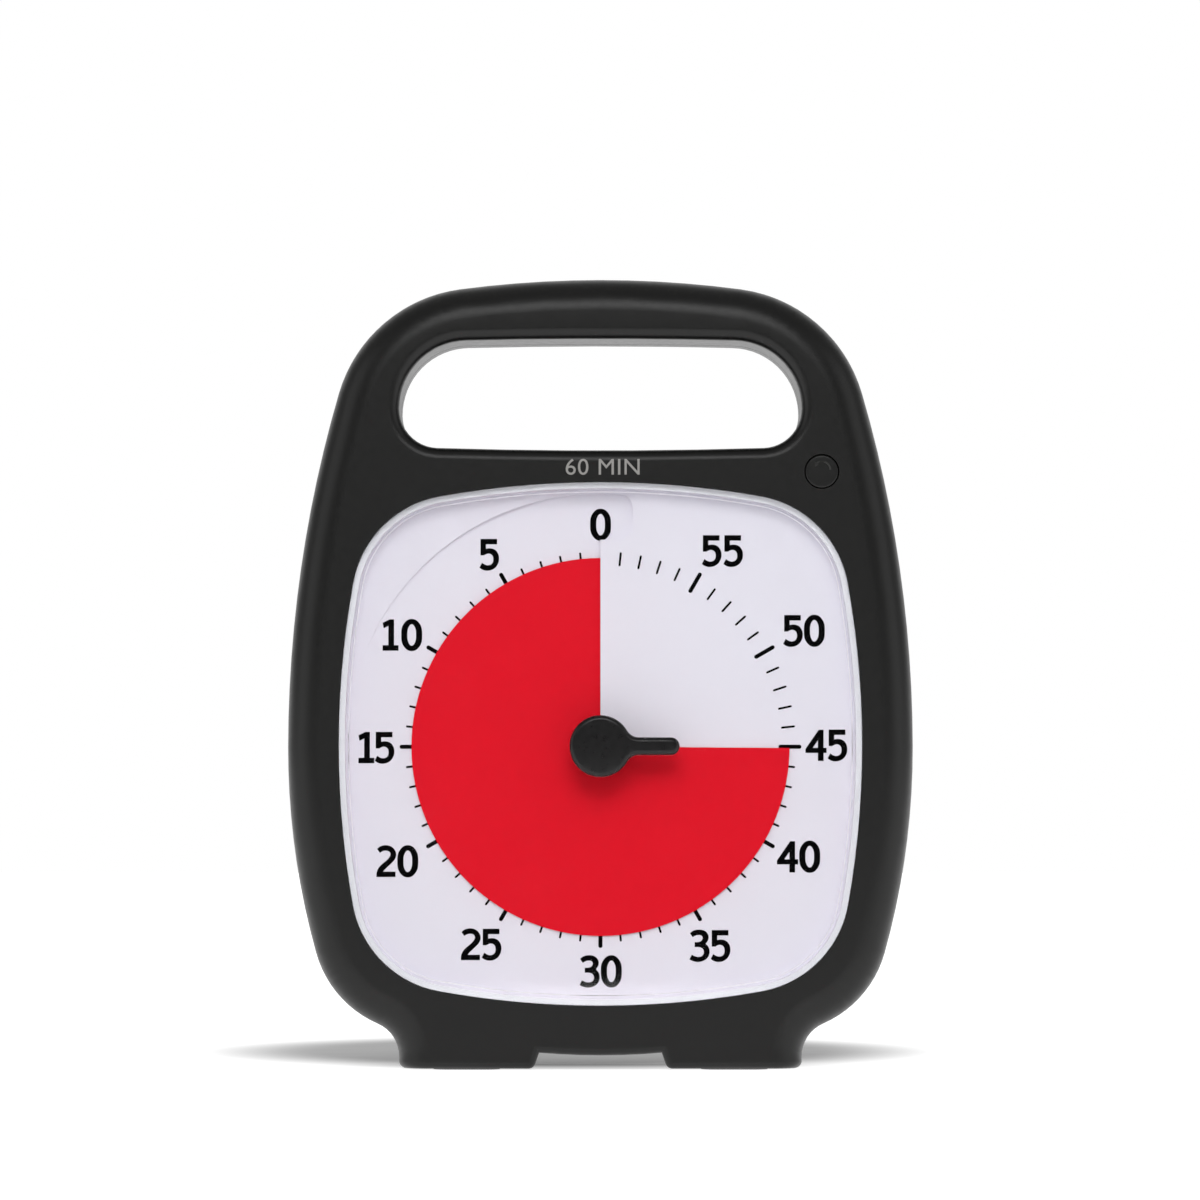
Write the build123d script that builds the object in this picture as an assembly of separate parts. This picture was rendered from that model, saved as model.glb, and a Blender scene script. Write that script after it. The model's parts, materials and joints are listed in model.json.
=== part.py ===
from build123d import *
from math import atan2, cos, degrees, pi, radians, sin, sqrt, tan
import os

# A sixty-minute visual countdown timer with a carrying handle.
#
# Frame: X to the right, Z up, the dial faces -Y. The origin is the middle of the
# footprint, on the surface that the pads stand on. All sizes are millimetres.
# The model shows forty-five minutes left: the pointer is at three o'clock.

# ------------------------------------------------------------------ overall sizes
WIDTH = 141.3             # across the widest level of the housing
DEPTH = 48.0              # knob face to the back of the feet
KNOB_PROUD = 4.5          # knob face ahead of the housing face
BACK_SLOPE = 5.78         # degrees that the back leans forward, towards the handle
RUNNING_GAP = 0.05        # radial gap of a shaft in its hole
LOOSE_GAP = 0.15          # gap round a piece that drops into its seat
FREE_GAP = 0.3            # gap between pieces that move past each other

# ------------------------------------------------------------------ housing outline
TOP_RADIUS = 241.5        # back of the handle
SHOULDER_RADIUS = 33.2
UPPER_SIDE_RADIUS = 288.0
LOWER_SIDE_RADIUS = 172.0
CHIN_RADIUS = 24.7
CHIN_Z = 8.2              # lowest level of the chin curves
WAIST_RADIUS = 8.0        # hollow curve between chin and feet
FOOT_WIDTH = 90.9
NOTCH_WIDTH = 30.0        # gap between the two feet
NOTCH_HEIGHT = 3.6
NOTCH_SLANT = 1.2         # each side of the gap leans in by this much
NOTCH_BOW = 0.6           # the middle of the gap hangs lower by this much
HANDLE_ARM = 25.25        # handle opening to the widest level of the side
HANDLE_BAR = 13.8         # height of the bar over the opening
OPENING_HEIGHT = 25.2
OPENING_BELLY = 9.4       # bottom of the opening to its widest level
OPENING_BOW = 1200.0      # radius of its nearly straight top and bottom
NECK = 7.3                # window edge to the opening

WALL = 2.4
FACE_ROUND = 7.5          # soft edge round the front
BACK_ROUND = 6.0          # soft edge round the back
OPENING_ROUND = 2.6
FOOT_ROUND = 1.6
FRONT_SHELL_DEPTH = 18.0  # housing face to the parting line
LIP_HEIGHT = 1.5          # tongue that locates the two shells
LIP_THICKNESS = 1.0
LINE_WIDTH = 0.4          # shadow line at the parting line
LINE_DEPTH = 0.35
PAD_PROUD = 0.3
PAD_THICKNESS = 1.3
PAD_LENGTH = 15.0
PAD_WIDTH = 7.0
PAD_FROM_EDGE = 8.5       # pad centre from the face and the back of a foot

# ------------------------------------------------------------------ window and lens
WINDOW_MARGIN = 11.75     # window edge to the widest level of the side
WINDOW_SILL = 14.5        # height of the window's lower edge
WINDOW_SIDE_RADIUS = 205.0
WINDOW_CORNER_RADIUS = 24.0
WINDOW_LIFT = 0.65        # window centre above the dial axis
COLLAR_THICKNESS = 1.6    # rib that stiffens the window edge
COLLAR_DEPTH = 5.2
LENS_THICKNESS = 2.0
LENS_STEP = 0.5           # the rim of the lens lies this much lower
LENS_RIM = 2.1
LENS_HOLE_RADIUS = 6.1
SEAL_THICKNESS = 0.3
SEAL_WIDTH = 1.3

# ------------------------------------------------------------------ dial tray and disc
DIAL_DROP = 6.0           # housing face down to the high end of the dial
FLOOR_THICKNESS = 0.8
TRAY_WALL = 1.3
FLANGE_WIDTH = 2.4        # flange of the tray beyond the window edge
FLANGE_THICKNESS = 1.4
RAMP_MARGIN = 1.6         # window edge to the edge of the ramp that fades out beside it
RAMP_FADE = 78.0          # degrees over which that edge fades out
POCKET_WIDTH = 7.3
POCKET_LENGTH = 10.5      # along the radius
POCKET_CORNER = 3.4
POCKET_OVERLAP = 1.0      # how far the cut of the pocket runs on past the slit
SLIT_WEB = 2.2            # closed dial between the slit and the pocket
SHEET_THICKNESS = 0.3
SHEET_GAP = 0.2           # above and below the sheet where it meets the dial
DISC_MARGIN = 1.9         # edge of the sheet to the end of the slit
DISC_SLOT = 0.8           # degrees cut away between the two ends of the sheet
SHOWN_DEGREES = 270.0     # forty-five minutes
HUB_RADIUS = 5.8
HUB_RIM = 0.8             # hub beyond the sheet, at both ends
EAR_RADIUS = 2.2
EAR_RISE = 27.0           # ear centre above and below the window centre
DIAL_SCREW_LENGTH = 4.5
BRIDGE_SCREW_LENGTH = 4.5
BOARD_SCREW_LENGTH = 5.0

# ------------------------------------------------------------------ knob and spindle
KNOB_RADIUS = 6.95
POINTER_REACH = 17.8
POINTER_WIDTH = 4.0
POINTER_BLEND = 3.0
KNOB_ROUND = 1.1
KNOB_DOME = 140.0
KNOB_LIFT = 0.8           # knob above the lens
KNOB_SKIN = 1.5           # plastic over the end of the spindle
BOSS_RADIUS = 5.5
SPINDLE_RADIUS = 1.5
SPINDLE_FLAT = 1.0        # flat of the D section from the axis
PIVOT_RADIUS = 0.8

# ------------------------------------------------------------------ movement
BRIDGE_DROP = 12.8        # housing face to the bridge plate
BRIDGE_THICKNESS = 1.6
BRIDGE_SIZE = 76.0
BRIDGE_CORNER = 9.0
PILLAR_RADIUS = 2.8
PILLAR_OFFSET = 34.0      # across and up from the dial axis
MOVEMENT_SIZE = 56.0
MOVEMENT_CORNER = 5.0
CASE_WALL = 1.2
CASE_FRONT_DEPTH = 7.0
CASE_BACK_DEPTH = 7.0
BUSHING_RADIUS = 3.5
NUT_ACROSS_FLATS = 9.5
NUT_THICKNESS = 1.6
GEAR_MODULE = 0.5
CENTRE_TEETH = 60
PINION_TEETH = 15
IDLER_TEETH = 45
WHEEL_THICKNESS = 1.0
PINION_THICKNESS = 1.8
ADDENDUM = 0.9            # in modules
DEDENDUM = 1.2
PRESSURE_ANGLE = 20.0
TOOTH_SHARE = 0.4         # tooth thickness as a share of the pitch, which leaves backlash
ARBOR_RADIUS = 0.6
POST_WALL = 1.2           # plastic round a pivot hole
POST_GAP = 0.5            # end play between a post and what turns in it
WHEEL_CLEARANCE = 0.7     # between a wheel and the next piece along its axis
BUSHING_FLANGE = 0.8
COLLAR_RADIUS = 2.6       # spindle collar that the clutch spring pushes on
COLLAR_THICK = 0.8
CLUTCH_THICKNESS = 0.3
IDLER_ANGLE = 225.0       # from the spindle to the idler, counter-clockwise from +X
ROTOR_ANGLE = -20.0       # from the idler to the rotor
ROTOR_RADIUS = 3.2
ROTOR_LENGTH = 4.0
STATOR_HOLE_GAP = 0.7
STATOR_HEIGHT = 14.6
STATOR_LEFT = 6.0         # stator edge to the left of the rotor axis
STATOR_THICKNESS = 1.0
STATOR_LEG = 2.0
COIL_OFFSET = 12.0        # coil axis to the right of the rotor axis
COIL_RADIUS = 3.0
COIL_FLANGE_RADIUS = 3.8
COIL_FLANGE = 0.9
COIL_CORE = 1.6           # width of the iron core inside the coil

# ------------------------------------------------------------------ button and board
BUTTON_MARGIN = 20.75     # button axis to the widest level of the side
BUTTON_DROP = 4.9         # button axis below the bottom of the opening
BUTTON_RADIUS = 3.8
BUTTON_STEM_RADIUS = 2.2
BUTTON_CAP = 3.4
BUTTON_TRAVEL = 0.8
BUTTON_FLANGE = 0.9       # rim inside that stops the button coming out
BUTTON_ROUND = 0.5
GUIDE_WALL = 1.4
BOARD_DROP = 16.2         # housing face to the front of the board
BOARD_THICKNESS = 1.6
BOARD_WIDTH = 47.0
BOARD_GAP = 5.25          # top of the movement to the board
BOARD_BORDER = (3.1, 2.2) # board beyond the button axis, across and up
BOARD_CORNER = 1.5
SWITCH_SIZE = 4.4
SWITCH_HEIGHT = 2.4
PLUNGER_RADIUS = 1.2
BOARD_POST_RADIUS = 2.4
CHIP_SIZE = (8.0, 8.0, 1.4)
CHIP_PLACE = (14.0, 10.9) # from the board's upper left corner
CAPACITOR_SPACE = 18.0    # chip centre to capacitor centre
CAPACITOR_RADIUS = 2.5
CAPACITOR_HEIGHT = 6.0

# ------------------------------------------------------------------ volume wheel
VOLUME_PLACE = (24.0, 10.0) # from the board's lower left corner
VOLUME_RADIUS = 8.0
VOLUME_THICKNESS = 4.2
VOLUME_PROUD = 0.8
VOLUME_RIDGES = 24
VOLUME_GROOVE = 0.6
VOLUME_CUP_FLOOR = 1.6
POT_RADIUS = 8.0
POT_DEPTH = 5.5
POT_SHAFT_RADIUS = 3.0
POT_GRIP = 2.5            # how far the wheel's stem reaches into the control

# ------------------------------------------------------------------ speaker
SPEAKER_X = -24.0
SPEAKER_MARGIN = 2.675    # round the speaker's seat, between the movement and the opening
SPEAKER_DEPTH = 4.6
MAGNET_SHARE = 0.6        # of the speaker's radius
CONE_SHARE = 0.75
GRILLE_THICKNESS = 1.8
GRILLE_LEDGE = 1.0
GRILLE_SLOT = 1.6
GRILLE_PITCH = 3.6
GRILLE_SLOTS = 6

# ------------------------------------------------------------------ battery bay
BATTERY_RADIUS = 7.25
BATTERY_LENGTH = 49.2
BATTERY_NUB_RADIUS = 2.7
BATTERY_NUB = 1.3
BAY_V = 23.5              # bay centre, up along the sloping back
BAY_WALL = 1.5
SPRING_ROOM = 5.0
CONTACT_THICKNESS = 0.4
CONTACT_SIZE = 11.0
SPRING_RADIUS = 3.6
SPRING_WIRE = 0.35
SPRING_TURNS = 3.5
DOOR_LENGTH = 64.0
DOOR_HEIGHT = 24.0
DOOR_THICKNESS = 2.0
DOOR_CORNER = 3.0
DOOR_LEDGE = 2.0
DOOR_PIN_RADIUS = 0.7
DOOR_PIN_LENGTH = 1.3
DOOR_GRIP_RIBS = 4
GRIP_PITCH = 2.0
GRIP_LENGTH = 16.0
GRIP_RIB = 0.9

# ------------------------------------------------------------------ housing screws
SCREW_RADIUS = 1.25
SCREW_HEAD_RADIUS = 2.7
SCREW_HEAD = 1.9
SCREW_LENGTH = 12.0
SCREW_SEAT = 3.6          # plastic under the head, from the parting line
SLOT_WIDTH = 0.7          # cross recess in a screw head
SCREW_WELL_RADIUS = 3.1
BOSS_FRONT_RADIUS = 3.2
BOSS_BACK_RADIUS = 4.5
LOWER_BOSS_ANGLE = -45.0
UPPER_BOSS_ANGLE = 28.0
HANDLE_BOSS_RISE = 1.0    # screws of the handle above the opening's widest level
SMALL_SCREW_RADIUS = 0.9
SMALL_HEAD_RADIUS = 1.9
SMALL_HEAD = 1.2

# ------------------------------------------------------------------ derived sizes
WINDOW_HALF = WIDTH / 2 - WINDOW_MARGIN
WINDOW_Z = WINDOW_SILL + WINDOW_HALF
DIAL_Z = WINDOW_Z - WINDOW_LIFT
OPENING_HALF = WIDTH / 2 - HANDLE_ARM
OPENING_BOTTOM = WINDOW_Z + WINDOW_HALF + NECK
OPENING_TOP = OPENING_BOTTOM + OPENING_HEIGHT
OPENING_WIDEST = OPENING_BOTTOM + OPENING_BELLY
HEIGHT = OPENING_TOP + HANDLE_BAR
HANDLE_BOSS_Z = OPENING_WIDEST + HANDLE_BOSS_RISE
RAMP_RADIUS = WINDOW_HALF - RAMP_MARGIN
POCKET_INNER_RADIUS = RAMP_RADIUS - POCKET_LENGTH
SLIT_RADIUS = POCKET_INNER_RADIUS - SLIT_WEB
DISC_RADIUS = SLIT_RADIUS - DISC_MARGIN
BUTTON_X = WIDTH / 2 - BUTTON_MARGIN
BUTTON_Z = OPENING_BOTTOM - BUTTON_DROP
BOARD_RIGHT = BUTTON_X + BOARD_BORDER[0]
BOARD_TOP = BUTTON_Z + BOARD_BORDER[1]
BOARD_LEFT = BOARD_RIGHT - BOARD_WIDTH
BOARD_BOTTOM = DIAL_Z + MOVEMENT_SIZE / 2 + BOARD_GAP
CHIP_X = BOARD_LEFT + CHIP_PLACE[0]
CHIP_Z = BOARD_TOP - CHIP_PLACE[1]
CAPACITOR_X = CHIP_X + CAPACITOR_SPACE
VOLUME_X = BOARD_LEFT + VOLUME_PLACE[0]
VOLUME_Z = BOARD_BOTTOM + VOLUME_PLACE[1]
SPEAKER_ROOM = OPENING_BOTTOM - WALL - DIAL_Z - MOVEMENT_SIZE / 2
SPEAKER_RADIUS = SPEAKER_ROOM / 2 - GUIDE_WALL - LOOSE_GAP - SPEAKER_MARGIN

# ------------------------------------------------------------------ derived levels
FRONT_Y = KNOB_PROUD - DEPTH / 2
BACK_Y = DEPTH / 2
SPLIT_Y = FRONT_Y + FRONT_SHELL_DEPTH
FOOT_Z = PAD_PROUD
TILT = radians(BACK_SLOPE)
SPEAKER_V = (OPENING_BOTTOM - WALL - SPEAKER_ROOM / 2) / cos(TILT)
LENS_BACK_Y = FRONT_Y + LENS_THICKNESS
RIM_Y = LENS_BACK_Y + SEAL_THICKNESS
RISE = FLOOR_THICKNESS + SHEET_THICKNESS + 2 * SHEET_GAP
DIAL_LOW_Y = FRONT_Y + DIAL_DROP + RISE
FLANGE_Y = FRONT_Y + COLLAR_DEPTH
BRIDGE_Y = FRONT_Y + BRIDGE_DROP
CASE_Y = BRIDGE_Y + BRIDGE_THICKNESS
CASE_SPLIT_Y = CASE_Y + CASE_FRONT_DEPTH
CASE_BACK_Y = CASE_SPLIT_Y + CASE_BACK_DEPTH
BOARD_Y = FRONT_Y + BOARD_DROP
KNOB_Y = FRONT_Y - KNOB_PROUD
KNOB_BACK_Y = FRONT_Y - KNOB_LIFT

BACK = Plane(origin=(0, BACK_Y, 0), x_dir=(-1, 0, 0), z_dir=(0, cos(TILT), sin(TILT)))
DIAL = Plane(origin=(0, DIAL_LOW_Y, DIAL_Z), x_dir=(0, 0, 1), z_dir=(0, -1, 0))


# ================================================================== helpers
def slab(outline, near, far):
    """Plate of a front-view outline, from depth near back to depth far."""
    return extrude(Plane.XZ.offset(-far) * outline, amount=far - near, dir=(0, -1, 0))


def back_slab(outline, outer, inner):
    """Plate of a back-view outline, between two depths below the sloping back."""
    normal = BACK.z_dir
    return extrude(BACK.offset(-inner) * outline, amount=inner - outer, dir=normal)


def disc_at(x, z, radius):
    """Filled circle in the front view."""
    return Pos(x, z) * Circle(radius)


def rod(x, z, radius, near, far):
    """Round bar along the depth."""
    return slab(disc_at(x, z, radius), near, far)


def tube(x, z, radius, bore, near, far):
    """Round bar along the depth, with a bore."""
    return slab(disc_at(x, z, radius) - disc_at(x, z, bore), near, far)


def meeting_point(first, first_radius, second, second_radius):
    """Point at given distances from two others, to the right of the way between them."""
    across = second - first
    span = across.length
    along = (first_radius**2 - second_radius**2 + span**2) / (2 * span)
    aside = sqrt(first_radius**2 - along**2)
    unit = across / span
    return first + unit * along + Vector(unit.Y, -unit.X) * aside


def touch_point(first, first_radius, second, second_radius):
    """Point where two tangent arcs of one outline meet; a hollow arc has a negative radius."""
    if first_radius * second_radius < 0:
        return first + (second - first).normalized() * abs(first_radius)
    if abs(first_radius) < abs(second_radius):
        first, first_radius, second = second, second_radius, first
    return first + (second - first).normalized() * abs(first_radius)


def arc_between(centre, radius, start, end):
    """Arc about a centre, the short way from one point to another."""
    bisector = ((start - centre) + (end - centre)).normalized()
    return ThreePointArc(start, centre + bisector * abs(radius), end)


def corner_radius(side, level, bow_centre, bow_radius):
    """Radius of the corner that joins a side, at its widest level, to a bowed edge."""
    drop = level - bow_centre
    return (bow_radius**2 - side**2 - drop**2) / (2 * (bow_radius - side))


# ================================================================== outlines
def housing_outline(inset=0.0):
    """Outline of the housing in the front view, or a parallel one inside it."""
    half, foot = WIDTH / 2, FOOT_WIDTH / 2
    top_centre = Vector(0, HEIGHT - TOP_RADIUS)
    upper_centre = Vector(half - UPPER_SIDE_RADIUS, DIAL_Z)
    lower_centre = Vector(half - LOWER_SIDE_RADIUS, DIAL_Z)
    shoulder_centre = meeting_point(
        top_centre, TOP_RADIUS - SHOULDER_RADIUS, upper_centre, UPPER_SIDE_RADIUS - SHOULDER_RADIUS
    )
    if shoulder_centre.X < 0:
        shoulder_centre = meeting_point(
            upper_centre, UPPER_SIDE_RADIUS - SHOULDER_RADIUS, top_centre, TOP_RADIUS - SHOULDER_RADIUS
        )
    chin_level = CHIN_Z + CHIN_RADIUS
    chin_reach = LOWER_SIDE_RADIUS - CHIN_RADIUS
    chin_centre = Vector(
        lower_centre.X + sqrt(chin_reach**2 - (DIAL_Z - chin_level) ** 2), chin_level
    )
    waist_x = foot + WAIST_RADIUS
    waist_span = CHIN_RADIUS + WAIST_RADIUS
    waist_centre = Vector(waist_x, chin_level - sqrt(waist_span**2 - (waist_x - chin_centre.X) ** 2))

    chain = [
        (top_centre, TOP_RADIUS - inset),
        (shoulder_centre, SHOULDER_RADIUS - inset),
        (upper_centre, UPPER_SIDE_RADIUS - inset),
        (lower_centre, LOWER_SIDE_RADIUS - inset),
        (chin_centre, CHIN_RADIUS - inset),
        (waist_centre, -WAIST_RADIUS - inset),
    ]
    joints = [touch_point(*a, *b) for a, b in zip(chain[:2], chain[1:3])]
    joints.append(Vector(half - inset, DIAL_Z))
    joints += [touch_point(*a, *b) for a, b in zip(chain[3:5], chain[4:6])]
    joints.append(Vector(foot - inset, waist_centre.Y))

    side = [arc_between(*arc, p, q) for arc, p, q in zip(chain[1:], joints, joints[1:])]
    foot_corner = Vector(foot - inset, FOOT_Z + inset)
    side.append(Line(joints[-1], foot_corner))
    edges = [edge for curve in side for edge in curve.edges()]
    edges += [edge.mirror(Plane.YZ) for edge in edges]
    left_joint = Vector(-joints[0].X, joints[0].Y)
    edges += ThreePointArc(left_joint, (0, HEIGHT - inset), joints[0]).edges()
    edges += Line((-foot_corner.X, foot_corner.Y), foot_corner).edges()
    return make_face(edges)


def opening_outline(grow=0.0):
    """Handle opening, or a parallel outline outside it."""
    side = OPENING_HALF
    top_centre = Vector(0, OPENING_TOP - OPENING_BOW)
    bottom_centre = Vector(0, OPENING_BOTTOM + OPENING_BOW)
    upper = corner_radius(side, OPENING_WIDEST, top_centre.Y, OPENING_BOW)
    lower = corner_radius(side, OPENING_WIDEST, bottom_centre.Y, OPENING_BOW)
    upper_centre = Vector(side - upper, OPENING_WIDEST)
    lower_centre = Vector(side - lower, OPENING_WIDEST)
    top_joint = touch_point(top_centre, OPENING_BOW + grow, upper_centre, upper + grow)
    bottom_joint = touch_point(bottom_centre, OPENING_BOW + grow, lower_centre, lower + grow)
    widest = Vector(side + grow, OPENING_WIDEST)
    corners = [
        arc_between(upper_centre, upper + grow, top_joint, widest),
        arc_between(lower_centre, lower + grow, widest, bottom_joint),
    ]
    edges = [edge for curve in corners for edge in curve.edges()]
    edges += [edge.mirror(Plane.YZ) for edge in edges]
    for joint, level in ((top_joint, OPENING_TOP + grow), (bottom_joint, OPENING_BOTTOM - grow)):
        edges += ThreePointArc((-joint.X, joint.Y), (0, level), joint).edges()
    return make_face(edges)


def window_corner_offset():
    """How far each corner arc of the window is centred from the middle, across and up."""
    back = WINDOW_SIDE_RADIUS - WINDOW_HALF
    reach = WINDOW_SIDE_RADIUS - WINDOW_CORNER_RADIUS
    return (sqrt(2 * reach**2 - back**2) - back) / 2


def window_outline(grow=0.0):
    """Bulged square of the window, or a parallel outline outside it."""
    offset = window_corner_offset()
    side_centre = Vector(WINDOW_HALF - WINDOW_SIDE_RADIUS, 0)
    corner_centre = Vector(offset, offset)
    joint = touch_point(
        side_centre, WINDOW_SIDE_RADIUS + grow, corner_centre, WINDOW_CORNER_RADIUS + grow
    )
    side = ThreePointArc((joint.X, -joint.Y), (WINDOW_HALF + grow, 0), joint)
    corner = arc_between(
        corner_centre, WINDOW_CORNER_RADIUS + grow, joint, Vector(joint.Y, joint.X)
    )
    quarter = side.edges() + corner.edges()
    edges = [edge.rotate(Axis.Z, 90 * turn) for turn in range(4) for edge in quarter]
    return Pos(0, WINDOW_Z) * make_face(edges)


def notch_outline(grow=0.0):
    """Gap between the feet, open at the bottom."""
    half = NOTCH_WIDTH / 2 + grow
    top = FOOT_Z + NOTCH_HEIGHT + grow
    shoulder = half - NOTCH_SLANT
    below = FOOT_Z - WALL
    edges = ThreePointArc((-shoulder, top), (0, top - NOTCH_BOW), (shoulder, top)).edges()
    edges += Polyline((shoulder, top), (half, FOOT_Z), (half, below), (-half, below)).edges()
    edges += Polyline((-half, below), (-half, FOOT_Z), (-shoulder, top)).edges()
    return make_face(edges)


def boss_places():
    """Centres of the six housing screws, in the front view."""
    centre = window_corner_offset()
    reach = WINDOW_CORNER_RADIUS + FLANGE_WIDTH + BOSS_FRONT_RADIUS + FREE_GAP
    lower = radians(LOWER_BOSS_ANGLE)
    upper = radians(UPPER_BOSS_ANGLE)
    rise = HANDLE_BOSS_Z - DIAL_Z
    outer = WIDTH / 2 - UPPER_SIDE_RADIUS + sqrt(UPPER_SIDE_RADIUS**2 - rise**2)
    right = [
        (centre + reach * cos(lower), WINDOW_Z - centre + reach * sin(lower)),
        (centre + reach * cos(upper), WINDOW_Z + centre + reach * sin(upper)),
        ((OPENING_HALF + outer) / 2, HANDLE_BOSS_Z),
    ]
    return right + [(-x, z) for x, z in right]


def ear_places():
    """Centres of the four screws that hold the dial tray, close inside the side walls."""
    drop = DIAL_Z - (WINDOW_Z - EAR_RISE)
    wall = WIDTH / 2 - LOWER_SIDE_RADIUS + sqrt(LOWER_SIDE_RADIUS**2 - drop**2) - WALL
    soft = max(FACE_ROUND - COLLAR_DEPTH, 0)
    curve = FACE_ROUND - WALL - sqrt((FACE_ROUND - WALL) ** 2 - soft**2)
    x = wall - curve - FREE_GAP - EAR_RADIUS
    return [(i * x, WINDOW_Z + j * EAR_RISE) for i in (-1, 1) for j in (-1, 1)]


def pillar_places():
    """Centres of the four pillars behind the dial."""
    return [(i * PILLAR_OFFSET, DIAL_Z + j * PILLAR_OFFSET) for i in (-1, 1) for j in (-1, 1)]


# ================================================================== housing
def housing_block(inset):
    """Rounded body without the handle opening, or the hollow inside it."""
    block = slab(housing_outline(inset), FRONT_Y + inset, BACK_Y)
    block = split(block, bisect_by=BACK.offset(-inset), keep=Keep.BOTTOM)
    base = FOOT_Z + inset + RUNNING_GAP
    front = block.faces().sort_by(Axis.Y)[0]
    block = fillet([e for e in front.edges() if (e @ 0.5).Z > base], FACE_ROUND - inset)
    sloping = block.faces().filter_by(Axis(BACK.origin, BACK.z_dir)).sort_by(Axis.Y)[-1]
    return fillet([e for e in sloping.edges() if (e @ 0.5).Z > base], BACK_ROUND - inset)


def is_opening_rim(edge):
    """True for an edge of the handle opening on the face or the back."""
    middle = edge @ 0.5
    beside = abs(middle.X) < OPENING_HALF + FREE_GAP
    level = OPENING_BOTTOM - FREE_GAP < middle.Z < OPENING_TOP + FREE_GAP
    runs_back = abs((edge @ 0).Y - (edge @ 1).Y) > OPENING_ROUND * 2
    return beside and level and not runs_back


def is_foot_rim(edge):
    """True for an edge round the underside of a foot, or of the gap between the feet."""
    start, end = edge @ 0, edge @ 1
    level = abs(start.Z - FOOT_Z) + abs(end.Z - FOOT_Z) < RUNNING_GAP
    inside = abs((edge @ 0.5).X) < NOTCH_WIDTH / 2 and (edge @ 0.5).Z < FOOT_Z + NOTCH_HEIGHT
    return level or (inside and abs(start.Y - end.Y) < RUNNING_GAP)


def housing_solids():
    """Outer form of the housing, and the hollow inside it."""
    body = housing_block(0.0) - slab(opening_outline(), FRONT_Y, BACK_Y)
    body = fillet([e for e in body.edges() if is_opening_rim(e)], OPENING_ROUND)
    body -= slab(notch_outline(), FRONT_Y, BACK_Y)
    body = fillet([e for e in body.edges() if is_foot_rim(e)], FOOT_ROUND)
    hollow = housing_block(WALL) - slab(opening_outline(WALL), FRONT_Y, BACK_Y)
    hollow -= slab(notch_outline(WALL), FRONT_Y, BACK_Y)
    return body, hollow


def pad_places():
    """Centres of the four foot pads in the footprint."""
    x = (FOOT_WIDTH + NOTCH_WIDTH) / 4
    front, back = FRONT_Y + PAD_FROM_EDGE, BACK_Y - PAD_FROM_EDGE
    return [(i * x, y) for i in (-1, 1) for y in (front, back)]


def foot_pads(gap=0.0):
    """Four rubber pads, or the pockets that they sit in."""
    oval = SlotOverall(PAD_LENGTH + 2 * gap, PAD_WIDTH + 2 * gap)
    return Part() + [
        extrude(Pos(x, y, 0) * oval, amount=PAD_THICKNESS, dir=(0, 0, 1)) for x, y in pad_places()
    ]


def shell_halves():
    """Front and back shells as plain walls, cut at the parting line, and the body itself."""
    body, hollow = housing_solids()
    walls = body - hollow - foot_pads(RUNNING_GAP)
    parting = Plane.XZ.offset(-SPLIT_Y)
    return (
        split(walls, bisect_by=parting, keep=Keep.TOP),
        split(walls, bisect_by=parting, keep=Keep.BOTTOM),
        body,
    )


def lip_ring(gap=0.0):
    """Tongue of the back shell that reaches into the front shell."""
    ring = housing_outline(WALL - LIP_THICKNESS - gap) - housing_outline(WALL + gap)
    ring -= notch_outline(WALL - gap)
    return slab(ring, SPLIT_Y - LIP_HEIGHT - gap, SPLIT_Y)


def front_housing(walls, body):
    """Front shell with its window, button guide and screw bosses."""
    posts = slab(window_outline(LOOSE_GAP + COLLAR_THICKNESS), FRONT_Y, FLANGE_Y)
    guide = BUTTON_RADIUS + LOOSE_GAP + GUIDE_WALL
    posts += rod(BUTTON_X, BUTTON_Z, guide, FRONT_Y, FRONT_Y + BUTTON_CAP)
    for x, z in boss_places():
        posts += rod(x, z, BOSS_FRONT_RADIUS, FRONT_Y, SPLIT_Y)
    for x, z in ear_places():
        posts += rod(x, z, EAR_RADIUS, FRONT_Y, FLANGE_Y)
    shell = walls + (posts & body)

    shell -= slab(window_outline(LOOSE_GAP), FRONT_Y, FLANGE_Y)
    shell -= rod(BUTTON_X, BUTTON_Z, BUTTON_RADIUS + LOOSE_GAP, FRONT_Y, FRONT_Y + BUTTON_CAP)
    for x, z in boss_places():
        shell -= rod(x, z, SCREW_RADIUS, SPLIT_Y + SCREW_SEAT - SCREW_LENGTH, SPLIT_Y)
    for x, z in ear_places():
        tip = FLANGE_Y + FLANGE_THICKNESS - DIAL_SCREW_LENGTH
        shell -= rod(x, z, SMALL_SCREW_RADIUS, tip, FLANGE_Y)
    shell -= lip_ring(LOOSE_GAP)
    groove = housing_outline() - housing_outline(LINE_DEPTH)
    groove += opening_outline(LINE_DEPTH) - opening_outline()
    return shell - slab(groove, SPLIT_Y - LINE_WIDTH, SPLIT_Y)


# ------------------------------------------------------------------ battery bay
AXIS_DEPTH = DOOR_THICKNESS + FREE_GAP + BATTERY_RADIUS
BAY_DEPTH = AXIS_DEPTH + BATTERY_RADIUS + FREE_GAP
BAY_LENGTH = 2 * CONTACT_THICKNESS + SPRING_ROOM + BATTERY_LENGTH + BATTERY_NUB
BAY_HEIGHT = 2 * (BATTERY_RADIUS + FREE_GAP)
DOOR_LOW = BAY_V - DOOR_HEIGHT / 2
DOOR_AXIS_V = DOOR_LOW + DOOR_THICKNESS / 2
BATTERY_START = CONTACT_THICKNESS + SPRING_ROOM - BAY_LENGTH / 2


def bar_along_bay(radius, start, length):
    """Round bar on the battery's axis, from a place along the bay."""
    bar = Cylinder(radius, length, align=(Align.CENTER, Align.CENTER, Align.MIN))
    return BACK * (Pos(start, BAY_V, -AXIS_DEPTH) * Rot(0, 90, 0) * bar)


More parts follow.
